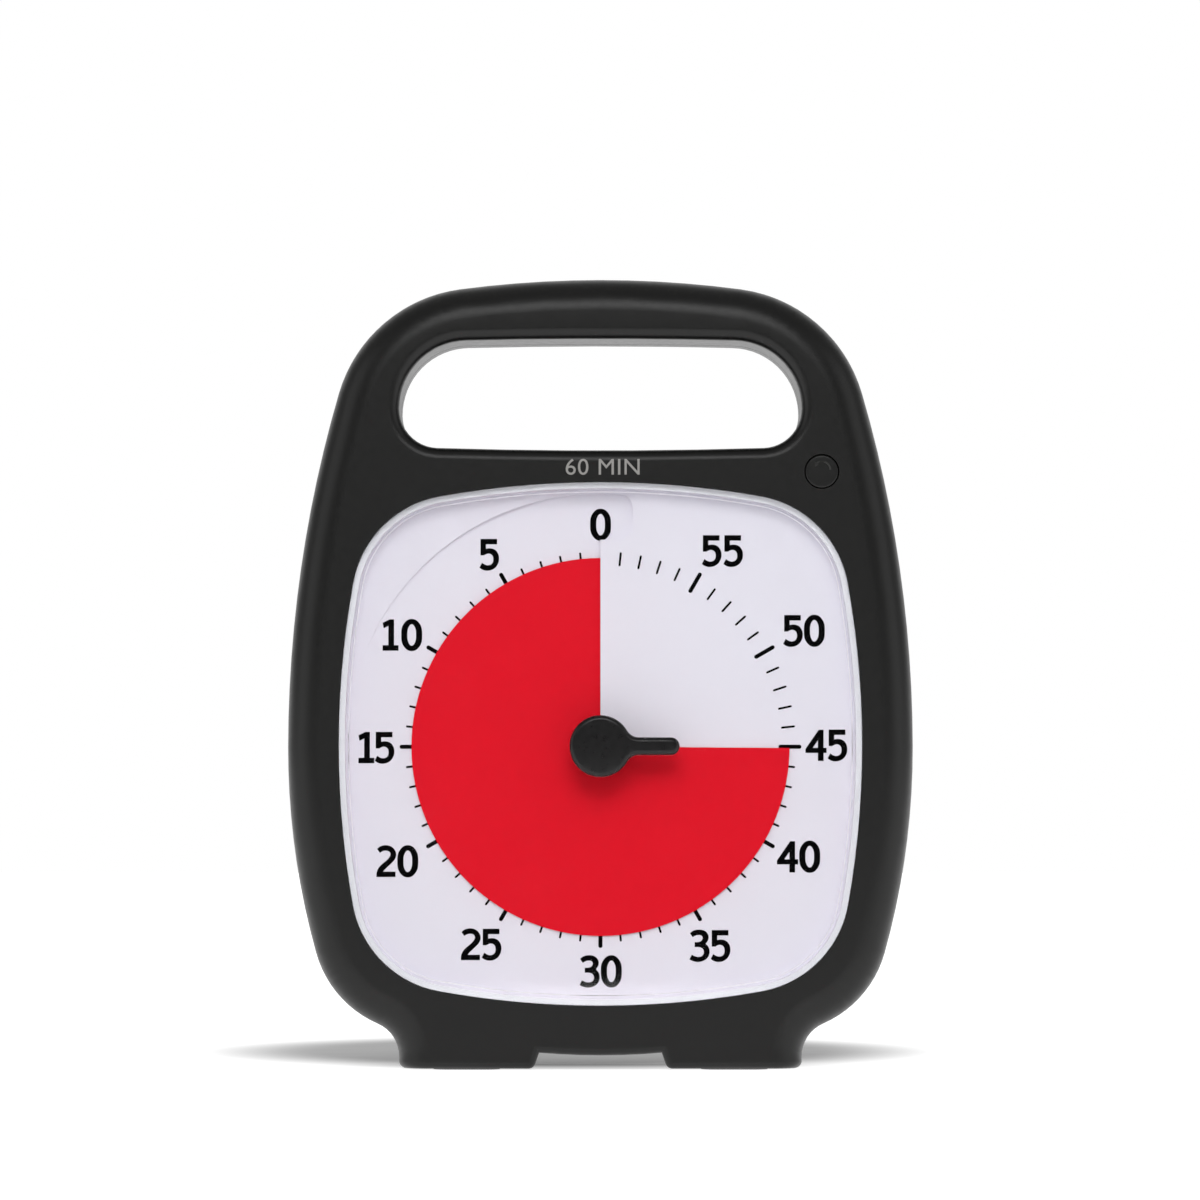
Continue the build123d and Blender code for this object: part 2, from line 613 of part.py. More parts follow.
def battery():
    """One AA cell: body and positive nub."""
    cell = bar_along_bay(BATTERY_RADIUS, BATTERY_START, BATTERY_LENGTH)
    rims = cell.edges().filter_by(GeomType.CIRCLE)
    cell = fillet(rims, BATTERY_NUB / 2)
    return cell + bar_along_bay(BATTERY_NUB_RADIUS, BATTERY_START, BATTERY_LENGTH + BATTERY_NUB)


def contact_plate(start):
    """Square contact at one end of the bay."""
    plate = Box(CONTACT_THICKNESS, CONTACT_SIZE, CONTACT_SIZE, align=(Align.MIN, Align.CENTER, Align.CENTER))
    return BACK * (Pos(start, BAY_V, -AXIS_DEPTH) * plate)


def battery_spring():
    """Negative contact: a plate with a coil spring that presses on the cell."""
    pitch = (SPRING_ROOM - SPRING_WIRE) / SPRING_TURNS
    coil = Helix(pitch=pitch, height=pitch * SPRING_TURNS, radius=SPRING_RADIUS)
    wire = sweep(Plane(coil @ 0, z_dir=coil % 0) * Circle(SPRING_WIRE), path=coil, is_frenet=True)
    start = -BAY_LENGTH / 2
    seat = Pos(start + CONTACT_THICKNESS, BAY_V, -AXIS_DEPTH) * Rot(0, 90, 0)
    return contact_plate(start) + BACK * (seat * wire)


def back_cell(width, height, outer, inner):
    """Box in the back wall round the battery bay's centre."""
    return back_slab(Pos(0, BAY_V) * Rectangle(width, height), outer, inner)


def door_pins(radius):
    """Two short pins that the battery door turns on."""
    half = DOOR_LENGTH / 2
    pins = Part()
    for side in (-1, 1):
        pin = Pos(side * (half + DOOR_PIN_LENGTH / 2), DOOR_AXIS_V, -DOOR_THICKNESS / 2)
        pins += BACK * (pin * Rot(0, 90, 0) * Cylinder(radius, DOOR_PIN_LENGTH + FREE_GAP))
    return pins


def battery_door():
    """Door in the back, rounded along the lower edge that it turns on."""
    half = DOOR_THICKNESS / 2
    flat = Pos(0, BAY_V + half / 2) * Rectangle(DOOR_LENGTH, DOOR_HEIGHT - half)
    upper = flat.vertices().sort_by(Axis.Y)[-2:]
    door = back_slab(fillet(upper, DOOR_CORNER), 0, DOOR_THICKNESS)
    hinge = Pos(0, DOOR_AXIS_V, -half) * Rot(0, 90, 0) * Cylinder(half, DOOR_LENGTH)
    door += BACK * hinge
    for rib in range(DOOR_GRIP_RIBS):
        v = DOOR_LOW + DOOR_HEIGHT - DOOR_CORNER - rib * GRIP_PITCH
        door += back_slab(Pos(0, v) * SlotOverall(GRIP_LENGTH, GRIP_RIB), -GRIP_RIB / 2, 0)
    return door + door_pins(DOOR_PIN_RADIUS)


# ------------------------------------------------------------------ volume wheel places
VOLUME_OUTER_Y = BACK_Y - VOLUME_Z * tan(TILT) + VOLUME_PROUD
VOLUME_INNER_Y = VOLUME_OUTER_Y - VOLUME_THICKNESS
CUP_FLOOR_Y = VOLUME_INNER_Y - FREE_GAP
BOARD_BACK_Y = BOARD_Y + BOARD_THICKNESS
POT_BACK_Y = BOARD_BACK_Y + POT_DEPTH
GRILLE_RADIUS = SPEAKER_RADIUS + GRILLE_LEDGE


def board_post_places():
    """Centres of the three posts that carry the circuit board."""
    inset = BOARD_POST_RADIUS + FREE_GAP
    low, high = BOARD_BOTTOM + inset, BOARD_TOP - inset
    return [(BOARD_LEFT + inset, low), (BOARD_RIGHT - inset, low), (BOARD_LEFT + inset, high)]


def speaker_circle(radius):
    """Circle on the speaker's axis in the back view."""
    return Pos(-SPEAKER_X, SPEAKER_V) * Circle(radius)


def rear_housing(walls, body):
    """Back shell with the battery bay, the volume cup, the speaker seat and the screw wells."""
    inner = WALL - RUNNING_GAP
    cup = VOLUME_RADIUS + FREE_GAP
    posts = rod(VOLUME_X, VOLUME_Z, cup + VOLUME_CUP_FLOOR, CUP_FLOOR_Y - VOLUME_CUP_FLOOR, BACK_Y)
    posts += back_cell(BAY_LENGTH + 2 * BAY_WALL, BAY_HEIGHT + 2 * BAY_WALL, inner, BAY_DEPTH + BAY_WALL)
    ledge = 2 * (DOOR_PIN_LENGTH + FREE_GAP + BAY_WALL)
    posts += back_cell(DOOR_LENGTH + ledge, DOOR_HEIGHT + ledge, inner, DOOR_THICKNESS + DOOR_LEDGE)
    seat = SPEAKER_RADIUS + LOOSE_GAP
    ring = speaker_circle(seat + GUIDE_WALL) - speaker_circle(seat)
    posts += back_slab(ring, inner, WALL + SPEAKER_DEPTH)
    for x, z in boss_places():
        posts += rod(x, z, BOSS_BACK_RADIUS, SPLIT_Y, BACK_Y)
    for x, z in board_post_places():
        posts += rod(x, z, BOARD_POST_RADIUS, BOARD_BACK_Y, BACK_Y)
    shell = walls + (posts & body) + lip_ring()

    for x, z in boss_places():
        shell -= rod(x, z, SCREW_WELL_RADIUS, SPLIT_Y + SCREW_SEAT, BACK_Y)
        shell -= rod(x, z, SCREW_RADIUS + LOOSE_GAP, SPLIT_Y, BACK_Y)
    for x, z in board_post_places():
        shell -= rod(x, z, SMALL_SCREW_RADIUS, BOARD_BACK_Y, BOARD_Y + BOARD_SCREW_LENGTH)
    shell -= back_cell(BAY_LENGTH, BAY_HEIGHT, 0, BAY_DEPTH)
    recess = DOOR_THICKNESS + LOOSE_GAP
    shell -= back_cell(DOOR_LENGTH + 2 * FREE_GAP, DOOR_HEIGHT + 2 * FREE_GAP, 0, recess)
    shell -= door_pins(DOOR_PIN_RADIUS + RUNNING_GAP)
    shell -= back_slab(speaker_circle(GRILLE_RADIUS + LOOSE_GAP), 0, GRILLE_THICKNESS)
    shell -= back_slab(speaker_circle(SPEAKER_RADIUS - GRILLE_LEDGE), 0, WALL)
    shell -= rod(VOLUME_X, VOLUME_Z, cup, CUP_FLOOR_Y, BACK_Y)
    stem = POT_SHAFT_RADIUS + FREE_GAP
    return shell - rod(VOLUME_X, VOLUME_Z, stem, CUP_FLOOR_Y - VOLUME_CUP_FLOOR, BACK_Y)


def housing_screws():
    """Six long screws that clamp the shells together."""
    seat = SPLIT_Y + SCREW_SEAT
    screws = Part()
    for x, z in boss_places():
        screw = rod(x, z, SCREW_RADIUS, seat - SCREW_LENGTH, seat)
        head = rod(x, z, SCREW_HEAD_RADIUS, seat, seat + SCREW_HEAD)
        socket = Pos(x, z) * (Rectangle(SCREW_HEAD_RADIUS, SLOT_WIDTH) + Rectangle(SLOT_WIDTH, SCREW_HEAD_RADIUS))
        screws += screw + head - slab(socket, seat + SCREW_HEAD / 2, seat + SCREW_HEAD)
    return screws


# ================================================================== window and dial
def lens():
    """Clear cover: a raised pane inside a lower rim, with a hole for the knob."""
    pane = slab(window_outline(-LENS_RIM), FRONT_Y, LENS_BACK_Y)
    pane = chamfer(pane.faces().sort_by(Axis.Y)[0].edges(), LENS_STEP / 2)
    pane += slab(window_outline(), FRONT_Y + LENS_STEP, LENS_BACK_Y)
    return pane - rod(0, DIAL_Z, LENS_HOLE_RADIUS, FRONT_Y, LENS_BACK_Y)


def lens_seal():
    """Soft ring between the lens and the rim of the dial tray."""
    return slab(window_outline() - window_outline(-SEAL_WIDTH), LENS_BACK_Y, RIM_Y)


def screw_plate(inner, outer, thickness, start, turn, height, lift):
    """Sector of a screw surface on the dial axis, thickened downwards.

    Angles are in degrees counter-clockwise from twelve o'clock. The top face begins at
    the given height above the low end of the dial and gains the lift over the turn.
    """
    pitch = lift * 360 / turn
    inside = Helix(pitch=pitch, height=lift, radius=inner)
    outside = Helix(pitch=pitch, height=lift, radius=outer)
    face = Face.make_surface_from_curves(inside.edges()[0], outside.edges()[0])
    plate = extrude(face, amount=thickness, dir=(0, 0, -1))
    return Pos(0, 0, height) * Rot(0, 0, start) * plate


def dial_floor():
    """Dial as one turn of a shallow ramp, open at the slit, in the dial's own frame."""
    corner = (WINDOW_HALF + WINDOW_LIFT) * sqrt(2)
    fade_lift = RISE * RAMP_FADE / 360
    hole = HUB_RADIUS + FREE_GAP
    floor = screw_plate(hole, RAMP_RADIUS, FLOOR_THICKNESS, 0, 360, 0, RISE)
    rest = 360 - RAMP_FADE
    floor += screw_plate(RAMP_RADIUS, corner, FLOOR_THICKNESS, RAMP_FADE, rest, fade_lift, RISE - fade_lift)
    fade = screw_plate(RAMP_RADIUS, corner, RISE + FLOOR_THICKNESS, 0, RAMP_FADE, fade_lift, RISE - fade_lift)
    floor += Rot(0, 0, RAMP_FADE) * fade.mirror(Plane.XZ)
    return floor


def pocket_outline(overlap, grow=0.0):
    """Shallow pocket to the right of the slit, in the dial's own frame."""
    inner, outer = POCKET_INNER_RADIUS - grow, RAMP_RADIUS + grow
    width = POCKET_WIDTH + grow
    tall = Pos((inner + outer) / 2, (overlap - width) / 2) * Rectangle(outer - inner, width + overlap)
    right = tall.vertices().sort_by(Axis.Y)[:2]
    return fillet(right, POCKET_CORNER + grow) & Circle(outer)


def dial_tray():
    """White tray: rim under the lens, flange with ears, ramped dial and four pillars."""
    floor = dial_floor()
    web = POCKET_INNER_RADIUS - SLIT_RADIUS
    closing = Pos(SLIT_RADIUS + web / 2, -FLOOR_THICKNESS / 2) * Rectangle(web, FLOOR_THICKNESS)
    low = Pos(0, 0, -FLOOR_THICKNESS)
    floor += extrude(low * closing, amount=RISE, dir=(0, 0, 1))
    floor += extrude(low * pocket_outline(0, FLOOR_THICKNESS), amount=RISE, dir=(0, 0, 1))
    pocket_end = RISE + FLOOR_THICKNESS
    floor -= extrude(pocket_outline(POCKET_OVERLAP), amount=pocket_end, dir=(0, 0, 1))
    floor = (DIAL * floor) & slab(window_outline(-TRAY_WALL / 2), FRONT_Y, BACK_Y)

    tray = floor + slab(window_outline() - window_outline(-TRAY_WALL), RIM_Y, DIAL_LOW_Y + FLOOR_THICKNESS)
    flange = window_outline(FLANGE_WIDTH)
    for x, z in ear_places():
        link = Pos(x / 2, z) * Rectangle(abs(x), 2 * EAR_RADIUS)
        flange += link + disc_at(x, z, EAR_RADIUS)
    flange -= window_outline(-TRAY_WALL)
    tray += slab(flange, FLANGE_Y, FLANGE_Y + FLANGE_THICKNESS)
    for x, z in pillar_places():
        angle = degrees(atan2(-x, z - DIAL_Z)) % 360
        root = DIAL_LOW_Y - RISE * angle / 360 + FLOOR_THICKNESS / 2
        tray += rod(x, z, PILLAR_RADIUS, root, BRIDGE_Y)
        tray -= rod(x, z, SMALL_SCREW_RADIUS, CASE_Y - BRIDGE_SCREW_LENGTH, BRIDGE_Y)
    for x, z in ear_places():
        tray -= rod(x, z, SMALL_SCREW_RADIUS + LOOSE_GAP, FLANGE_Y, FLANGE_Y + FLANGE_THICKNESS)
    return tray


def small_screws(places, seat, length, direction):
    """Pan-head screws; their heads stand off the seat in the given depth direction."""
    screws = Part()
    for x, z in places:
        tip, top = seat - direction * length, seat + direction * SMALL_HEAD
        screws += rod(x, z, SMALL_SCREW_RADIUS, min(tip, seat), max(tip, seat))
        screws += rod(x, z, SMALL_HEAD_RADIUS, min(seat, top), max(seat, top))
    return screws


# ================================================================== disc, knob, spindle
SHEET_LOW = SHEET_GAP + SHEET_THICKNESS - RISE * (360 - SHOWN_DEGREES) / 360
SHEET_HIGH = SHEET_LOW + RISE
HUB_LOW = SHEET_LOW - SHEET_THICKNESS - HUB_RIM
HUB_HIGH = SHEET_HIGH + HUB_RIM
FULL_LIFT = RISE * (360 - SHOWN_DEGREES) / 360
BOSS_BACK_Y = DIAL_LOW_Y - HUB_HIGH - FULL_LIFT - FREE_GAP
NUT_Y = BRIDGE_Y - NUT_THICKNESS
FLAT_END_Y = NUT_Y - FREE_GAP


def red_disc():
    """Coloured sheet, one turn of the dial's own screw surface, cut along one radius."""
    start = SHOWN_DEGREES - 360 + DISC_SLOT / 2
    turn = 360 - DISC_SLOT
    lift = RISE * turn / 360
    low = SHEET_LOW + RISE * DISC_SLOT / 720
    return DIAL * screw_plate(HUB_RADIUS, DISC_RADIUS, SHEET_THICKNESS, start, turn, low, lift)


def d_section(gap=0.0):
    """Section of the spindle where the knob and the hub drive it."""
    radius = SPINDLE_RADIUS + gap
    flat = SPINDLE_FLAT + gap
    keep = Pos(0, DIAL_Z + flat - radius) * Rectangle(2 * radius, 2 * radius)
    return disc_at(0, DIAL_Z, radius) & keep


def disc_hub():
    """Hub that carries the sheet and slides along the flat of the spindle."""
    hub = rod(0, DIAL_Z, HUB_RADIUS, DIAL_LOW_Y - HUB_HIGH, DIAL_LOW_Y - HUB_LOW)
    return hub - slab(d_section(RUNNING_GAP), DIAL_LOW_Y - HUB_HIGH, DIAL_LOW_Y - HUB_LOW)


def knob():
    """Round knob with a pointer, and the boss that reaches through the lens."""
    arm = POINTER_REACH - POINTER_WIDTH / 2
    outline = Circle(KNOB_RADIUS) + Pos(arm / 2, 0) * Rectangle(arm, POINTER_WIDTH)
    outline += Pos(arm, 0) * Circle(POINTER_WIDTH / 2)
    roots = outline.vertices().sort_by_distance((0, 0))[:2]
    outline = Pos(0, DIAL_Z) * fillet(roots, POINTER_BLEND)
    head = slab(outline, KNOB_Y, KNOB_BACK_Y)
    head &= Pos(0, KNOB_Y + KNOB_DOME, DIAL_Z) * Sphere(KNOB_DOME)
    rim = head.faces().sort_by(Axis.Y)[0].edges()
    head = fillet(rim, KNOB_ROUND)
    head += rod(0, DIAL_Z, BOSS_RADIUS, KNOB_BACK_Y, BOSS_BACK_Y)
    return head - slab(d_section(), KNOB_Y + KNOB_SKIN, BOSS_BACK_Y)


# ------------------------------------------------------------------ movement levels
CASE_INNER_Y = CASE_Y + CASE_WALL
CASE_INNER_BACK_Y = CASE_BACK_Y - CASE_WALL
WHEEL_Y = CASE_INNER_Y + BUSHING_FLANGE + FREE_GAP
WHEEL_BACK_Y = WHEEL_Y + WHEEL_THICKNESS
COLLAR_Y = WHEEL_BACK_Y + WHEEL_CLEARANCE
SPINDLE_END_Y = COLLAR_Y + COLLAR_THICK
IDLER_Y = WHEEL_BACK_Y + WHEEL_CLEARANCE
IDLER_BACK_Y = IDLER_Y + WHEEL_THICKNESS
MAGNET_Y = IDLER_Y + WHEEL_THICKNESS + WHEEL_CLEARANCE
STATOR_Y = MAGNET_Y + (ROTOR_LENGTH - STATOR_THICKNESS) / 2
PIVOT_END_Y = CASE_INNER_BACK_Y - FREE_GAP


def gear_outline(teeth, rotation):
    """Gear in the front view, with straight-sided teeth; the first tooth is at the rotation."""
    pitch_radius = GEAR_MODULE * teeth / 2
    tip, root = pitch_radius + GEAR_MODULE * ADDENDUM, pitch_radius - GEAR_MODULE * DEDENDUM
    half = TOOTH_SHARE * pi * GEAR_MODULE / 2
    lean = tan(radians(PRESSURE_ANGLE))
    tip_half = half - (tip - pitch_radius) * lean
    root_half = half + (pitch_radius - root) * lean
    inner = root - GEAR_MODULE / 2
    tooth = make_face(
        Polyline((inner, -root_half), (root, -root_half), (tip, -tip_half), (tip, tip_half),
                 (root, root_half), (inner, root_half), (inner, -root_half))
    )
    return Circle(root) + [Rot(0, 0, rotation + 360 * i / teeth) * tooth for i in range(teeth)]


def idler_axis():
    """Place of the idler beside the spindle."""
    reach = GEAR_MODULE * (CENTRE_TEETH + PINION_TEETH) / 2
    return reach * cos(radians(IDLER_ANGLE)), DIAL_Z + reach * sin(radians(IDLER_ANGLE))


def rotor_axis():
    """Place of the motor's rotor beside the idler."""
    reach = GEAR_MODULE * (IDLER_TEETH + PINION_TEETH) / 2
    x, z = idler_axis()
    return x + reach * cos(radians(ROTOR_ANGLE)), z + reach * sin(radians(ROTOR_ANGLE))


def centre_wheel():
    """Wheel that drives the spindle through the clutch spring."""
    teeth = gear_outline(CENTRE_TEETH, IDLER_ANGLE + 180 / CENTRE_TEETH)
    wheel = slab(Pos(0, DIAL_Z) * teeth, WHEEL_Y, WHEEL_BACK_Y)
    return wheel - rod(0, DIAL_Z, SPINDLE_RADIUS + RUNNING_GAP, WHEEL_Y, WHEEL_BACK_Y)


def clutch_spring():
    """Dished washer between the wheel and the spindle collar."""
    bore = SPINDLE_RADIUS + RUNNING_GAP
    dish = WHEEL_CLEARANCE - CLUTCH_THICKNESS
    outer = COLLAR_RADIUS + WHEEL_CLEARANCE
    section = make_face(
        Polyline((bore, 0), (outer, dish), (outer, dish + CLUTCH_THICKNESS),
                 (bore, CLUTCH_THICKNESS), (bore, 0))
    )
    washer = revolve(Plane.XZ * section, axis=Axis.Z)
    return Pos(0, COLLAR_Y, DIAL_Z) * Rot(90, 0, 0) * washer


def spindle():
    """Spindle: flat-sided front for knob and hub, round bearing, collar and back pivot."""
    bar = slab(d_section(), KNOB_Y + KNOB_SKIN, FLAT_END_Y)
    bar += rod(0, DIAL_Z, SPINDLE_RADIUS, FLAT_END_Y, SPINDLE_END_Y)
    bar += rod(0, DIAL_Z, COLLAR_RADIUS, COLLAR_Y, SPINDLE_END_Y)
    return bar + rod(0, DIAL_Z, PIVOT_RADIUS, SPINDLE_END_Y, PIVOT_END_Y)


def spindle_bushing():
    """Brass bearing that the spindle turns in; its flange sits inside the movement."""
    bore = SPINDLE_RADIUS + RUNNING_GAP
    bushing = tube(0, DIAL_Z, BUSHING_RADIUS, bore, NUT_Y, CASE_INNER_Y)
    wide = BUSHING_RADIUS + BUSHING_FLANGE
    return bushing + tube(0, DIAL_Z, wide, bore, CASE_INNER_Y, CASE_INNER_Y + BUSHING_FLANGE)


def bushing_nut():
    """Hexagon nut that clamps the movement to the bridge plate."""
    hexagon = RegularPolygon(NUT_ACROSS_FLATS / 2, 6, major_radius=False)
    ring = Pos(0, DIAL_Z) * (hexagon - Circle(BUSHING_RADIUS + RUNNING_GAP))
    return slab(ring, NUT_Y, BRIDGE_Y)


def bridge_plate():
    """Plate across the back of the dial tray that carries the movement."""
    plate = Pos(0, DIAL_Z) * RectangleRounded(BRIDGE_SIZE, BRIDGE_SIZE, BRIDGE_CORNER)
    plate -= disc_at(0, DIAL_Z, BUSHING_RADIUS + RUNNING_GAP)
    for x, z in pillar_places():
        plate -= disc_at(x, z, SMALL_SCREW_RADIUS + LOOSE_GAP)
    return slab(plate, BRIDGE_Y, CASE_Y)


def case_outline(inset=0.0):
    """Rounded square of the movement case."""
    size = MOVEMENT_SIZE - 2 * inset
    return Pos(0, DIAL_Z) * RectangleRounded(size, size, MOVEMENT_CORNER - inset)


def movement_case_front():
    """Front half of the movement case, with the idler and rotor pivots."""
    case = slab(case_outline(), CASE_Y, CASE_SPLIT_Y)
    case -= slab(case_outline(CASE_WALL), CASE_INNER_Y, CASE_SPLIT_Y)
    case -= rod(0, DIAL_Z, BUSHING_RADIUS + RUNNING_GAP, CASE_Y, CASE_INNER_Y)
    for x, z in (idler_axis(), rotor_axis()):
        case -= rod(x, z, ARBOR_RADIUS + RUNNING_GAP, CASE_Y + CASE_WALL / 2, CASE_INNER_Y)
    return case


def movement_case_back():
    """Back half of the movement case, with a post for each pivot and the stator seat."""
    case = slab(case_outline(), CASE_SPLIT_Y, CASE_BACK_Y)
    case -= slab(case_outline(CASE_WALL), CASE_SPLIT_Y, CASE_INNER_BACK_Y)
    pivots = [
        ((0, DIAL_Z), PIVOT_RADIUS, SPINDLE_END_Y),
        (idler_axis(), ARBOR_RADIUS, IDLER_BACK_Y),
        (rotor_axis(), ARBOR_RADIUS, MAGNET_Y + ROTOR_LENGTH),
    ]
    for (x, z), radius, end in pivots:
        case += rod(x, z, radius + POST_WALL, end + POST_GAP, CASE_INNER_BACK_Y)
    for x, z in stator_post_places():
        case += rod(x, z, POST_WALL, STATOR_Y + STATOR_THICKNESS, CASE_INNER_BACK_Y)
    for (x, z), radius, end in pivots:
        case -= rod(x, z, radius + RUNNING_GAP, end, CASE_INNER_BACK_Y)
    return case


def arbor(axis, end):
    """Thin steel shaft from the front wall of the movement case to a back post."""
    x, z = axis
    return rod(x, z, ARBOR_RADIUS, CASE_Y + CASE_WALL / 2 + RUNNING_GAP, end)


def idler_gear():
    """Intermediate gear: a pinion that meets the centre wheel, and a wheel behind it."""
    x, z = idler_axis()
    pinion = Pos(x, z) * gear_outline(PINION_TEETH, IDLER_ANGLE + 180)
    wheel = Pos(x, z) * gear_outline(IDLER_TEETH, ROTOR_ANGLE + 180 / IDLER_TEETH)
    overlap = (PINION_THICKNESS - WHEEL_THICKNESS) / 2
    gear = slab(pinion, WHEEL_Y - overlap, IDLER_Y) + slab(wheel, IDLER_Y, IDLER_BACK_Y)
    return gear + arbor((x, z), PIVOT_END_Y)


def rotor():
    """Magnet of the stepping motor, with the pinion that meets the idler wheel."""
    x, z = rotor_axis()
    pinion = Pos(x, z) * gear_outline(PINION_TEETH, ROTOR_ANGLE + 180)
    overlap = (PINION_THICKNESS - WHEEL_THICKNESS) / 2
    turning = slab(pinion, IDLER_Y - overlap, MAGNET_Y)
    turning += rod(x, z, ROTOR_RADIUS, MAGNET_Y, MAGNET_Y + ROTOR_LENGTH)
    return turning + arbor((x, z), PIVOT_END_Y)


def stator_frame():
    """Left, right, bottom and top of the stator in the front view."""
    x, z = rotor_axis()
    right = x + COIL_OFFSET + STATOR_LEG
    return x - STATOR_LEFT, right, z - STATOR_HEIGHT / 2, z + STATOR_HEIGHT / 2


def stator_post_places():
    """Two places where the case carries the stator."""
    left, _, bottom, top = stator_frame()
    x = left + POST_WALL + STATOR_LEG * 2
    inset = POST_WALL / 2
    return [(x, bottom + inset), (x, top - inset)]


def motor_stator():
    """Laminated plate round the rotor, with two legs and the core that carries the coil."""
    x, z = rotor_axis()
    left, right, bottom, top = stator_frame()
    plate = Pos((left + right) / 2, z) * Rectangle(right - left, top - bottom)
    plate -= disc_at(x, z, ROTOR_RADIUS + STATOR_HOLE_GAP)
    gap = right - x - ROTOR_RADIUS - STATOR_HOLE_GAP - STATOR_LEG
    plate -= Pos(right - gap / 2, z) * Rectangle(gap, top - bottom - 2 * STATOR_LEG)
    plate += Pos(x + COIL_OFFSET, z) * Rectangle(COIL_CORE, top - bottom)
    return slab(plate, STATOR_Y, STATOR_Y + STATOR_THICKNESS)


def motor_coil():
    """Winding between two flanges, on the core that joins the stator legs."""
    x, z = rotor_axis()
    length = STATOR_HEIGHT - 2 * STATOR_LEG
    centre = Pos(x + COIL_OFFSET, STATOR_Y + STATOR_THICKNESS / 2, z)
    coil = centre * Cylinder(COIL_RADIUS, length)
    for side in (-1, 1):
        flange = Pos(0, 0, side * (length - COIL_FLANGE) / 2) * Cylinder(COIL_FLANGE_RADIUS, COIL_FLANGE)
        coil += centre * flange
    clear = 2 * RUNNING_GAP
    return coil - centre * Box(COIL_CORE + clear, STATOR_THICKNESS + clear, length)


# ================================================================== button and board
BUTTON_GUIDE_Y = FRONT_Y + BUTTON_CAP
FLANGE_BACK_Y = BUTTON_GUIDE_Y + RUNNING_GAP + BUTTON_FLANGE
SWITCH_Y = BOARD_Y - SWITCH_HEIGHT
PLUNGER_Y = SWITCH_Y - BUTTON_TRAVEL - FREE_GAP


def reset_button():
    """Round button: domed cap, stop rim behind the guide, and a stem to the switch."""
    cap = rod(BUTTON_X, BUTTON_Z, BUTTON_RADIUS, FRONT_Y, FLANGE_BACK_Y)
    cap = fillet(cap.edges().sort_by(Axis.Y)[0], BUTTON_ROUND)
    rim = BUTTON_RADIUS + GUIDE_WALL / 2 + LOOSE_GAP
    cap += rod(BUTTON_X, BUTTON_Z, rim, BUTTON_GUIDE_Y + RUNNING_GAP, FLANGE_BACK_Y)
    return cap + rod(BUTTON_X, BUTTON_Z, BUTTON_STEM_RADIUS, FLANGE_BACK_Y, PLUNGER_Y)


def switch_plunger():
    """Plunger of the push switch; it travels with the button."""
    depth = SWITCH_HEIGHT / 2 + BUTTON_TRAVEL
    return rod(BUTTON_X, BUTTON_Z, PLUNGER_RADIUS, PLUNGER_Y, PLUNGER_Y + FREE_GAP + depth)


def push_switch():
    """Body of the push switch on the board."""
    body = Pos(BUTTON_X, BUTTON_Z) * Rectangle(SWITCH_SIZE, SWITCH_SIZE)
    return slab(body - disc_at(BUTTON_X, BUTTON_Z, PLUNGER_RADIUS + RUNNING_GAP), SWITCH_Y, BOARD_Y)


def circuit_board():
    """Alarm board, held on three posts."""
    width, height = BOARD_RIGHT - BOARD_LEFT, BOARD_TOP - BOARD_BOTTOM
    centre = Pos((BOARD_LEFT + BOARD_RIGHT) / 2, (BOARD_BOTTOM + BOARD_TOP) / 2)
    board = centre * RectangleRounded(width, height, BOARD_CORNER)
    for x, z in board_post_places():
        board -= disc_at(x, z, SMALL_SCREW_RADIUS + LOOSE_GAP)
    return slab(board, BOARD_Y, BOARD_BACK_Y)


def timer_chip():
    """Control chip on the front of the board."""
    wide, high, thick = CHIP_SIZE
    return slab(Pos(CHIP_X, CHIP_Z) * Rectangle(wide, high), BOARD_Y - thick, BOARD_Y)


def capacitor():
    """Round capacitor on the front of the board."""
    return rod(CAPACITOR_X, CHIP_Z, CAPACITOR_RADIUS, BOARD_Y - CAPACITOR_HEIGHT, BOARD_Y)


# ================================================================== volume wheel, speaker
def volume_control():
    """Body of the volume control behind the board."""
    depth = POT_BACK_Y - POT_GRIP
    body = rod(VOLUME_X, VOLUME_Z, POT_RADIUS, BOARD_BACK_Y, POT_BACK_Y)
    return body - rod(VOLUME_X, VOLUME_Z, POT_SHAFT_RADIUS + RUNNING_GAP, depth, POT_BACK_Y)


def volume_wheel():
    """Ridged wheel in the back, with an index line and a stem into the control."""
    outline = disc_at(VOLUME_X, VOLUME_Z, VOLUME_RADIUS)
    for i in range(VOLUME_RIDGES):
        angle = 2 * pi * i / VOLUME_RIDGES
        x, z = VOLUME_X + VOLUME_RADIUS * cos(angle), VOLUME_Z + VOLUME_RADIUS * sin(angle)
        outline -= disc_at(x, z, VOLUME_GROOVE)
    wheel = slab(outline, VOLUME_INNER_Y, VOLUME_OUTER_Y)
    index = Pos(VOLUME_X, VOLUME_Z + VOLUME_RADIUS / 2) * Rectangle(VOLUME_GROOVE, VOLUME_RADIUS / 2)
    wheel -= slab(index, VOLUME_OUTER_Y - VOLUME_GROOVE, VOLUME_OUTER_Y)
    stem_end = POT_BACK_Y - POT_GRIP + FREE_GAP
    return wheel + rod(VOLUME_X, VOLUME_Z, POT_SHAFT_RADIUS, stem_end, VOLUME_INNER_Y)


def speaker():
    """Small loudspeaker: basket with a shallow cone, and the magnet behind it."""
    basket = back_slab(speaker_circle(SPEAKER_RADIUS), WALL, WALL + SPEAKER_DEPTH / 2)
    magnet = back_slab(speaker_circle(SPEAKER_RADIUS * MAGNET_SHARE), WALL, WALL + SPEAKER_DEPTH)
    cone = Cone(SPEAKER_RADIUS * CONE_SHARE, SPEAKER_RADIUS * CONE_SHARE / 2, SPEAKER_DEPTH / 3)
    place = Pos(-SPEAKER_X, SPEAKER_V, -WALL - SPEAKER_DEPTH / 6) * Rot(180, 0, 0)
    return basket + magnet - BACK * (place * cone)


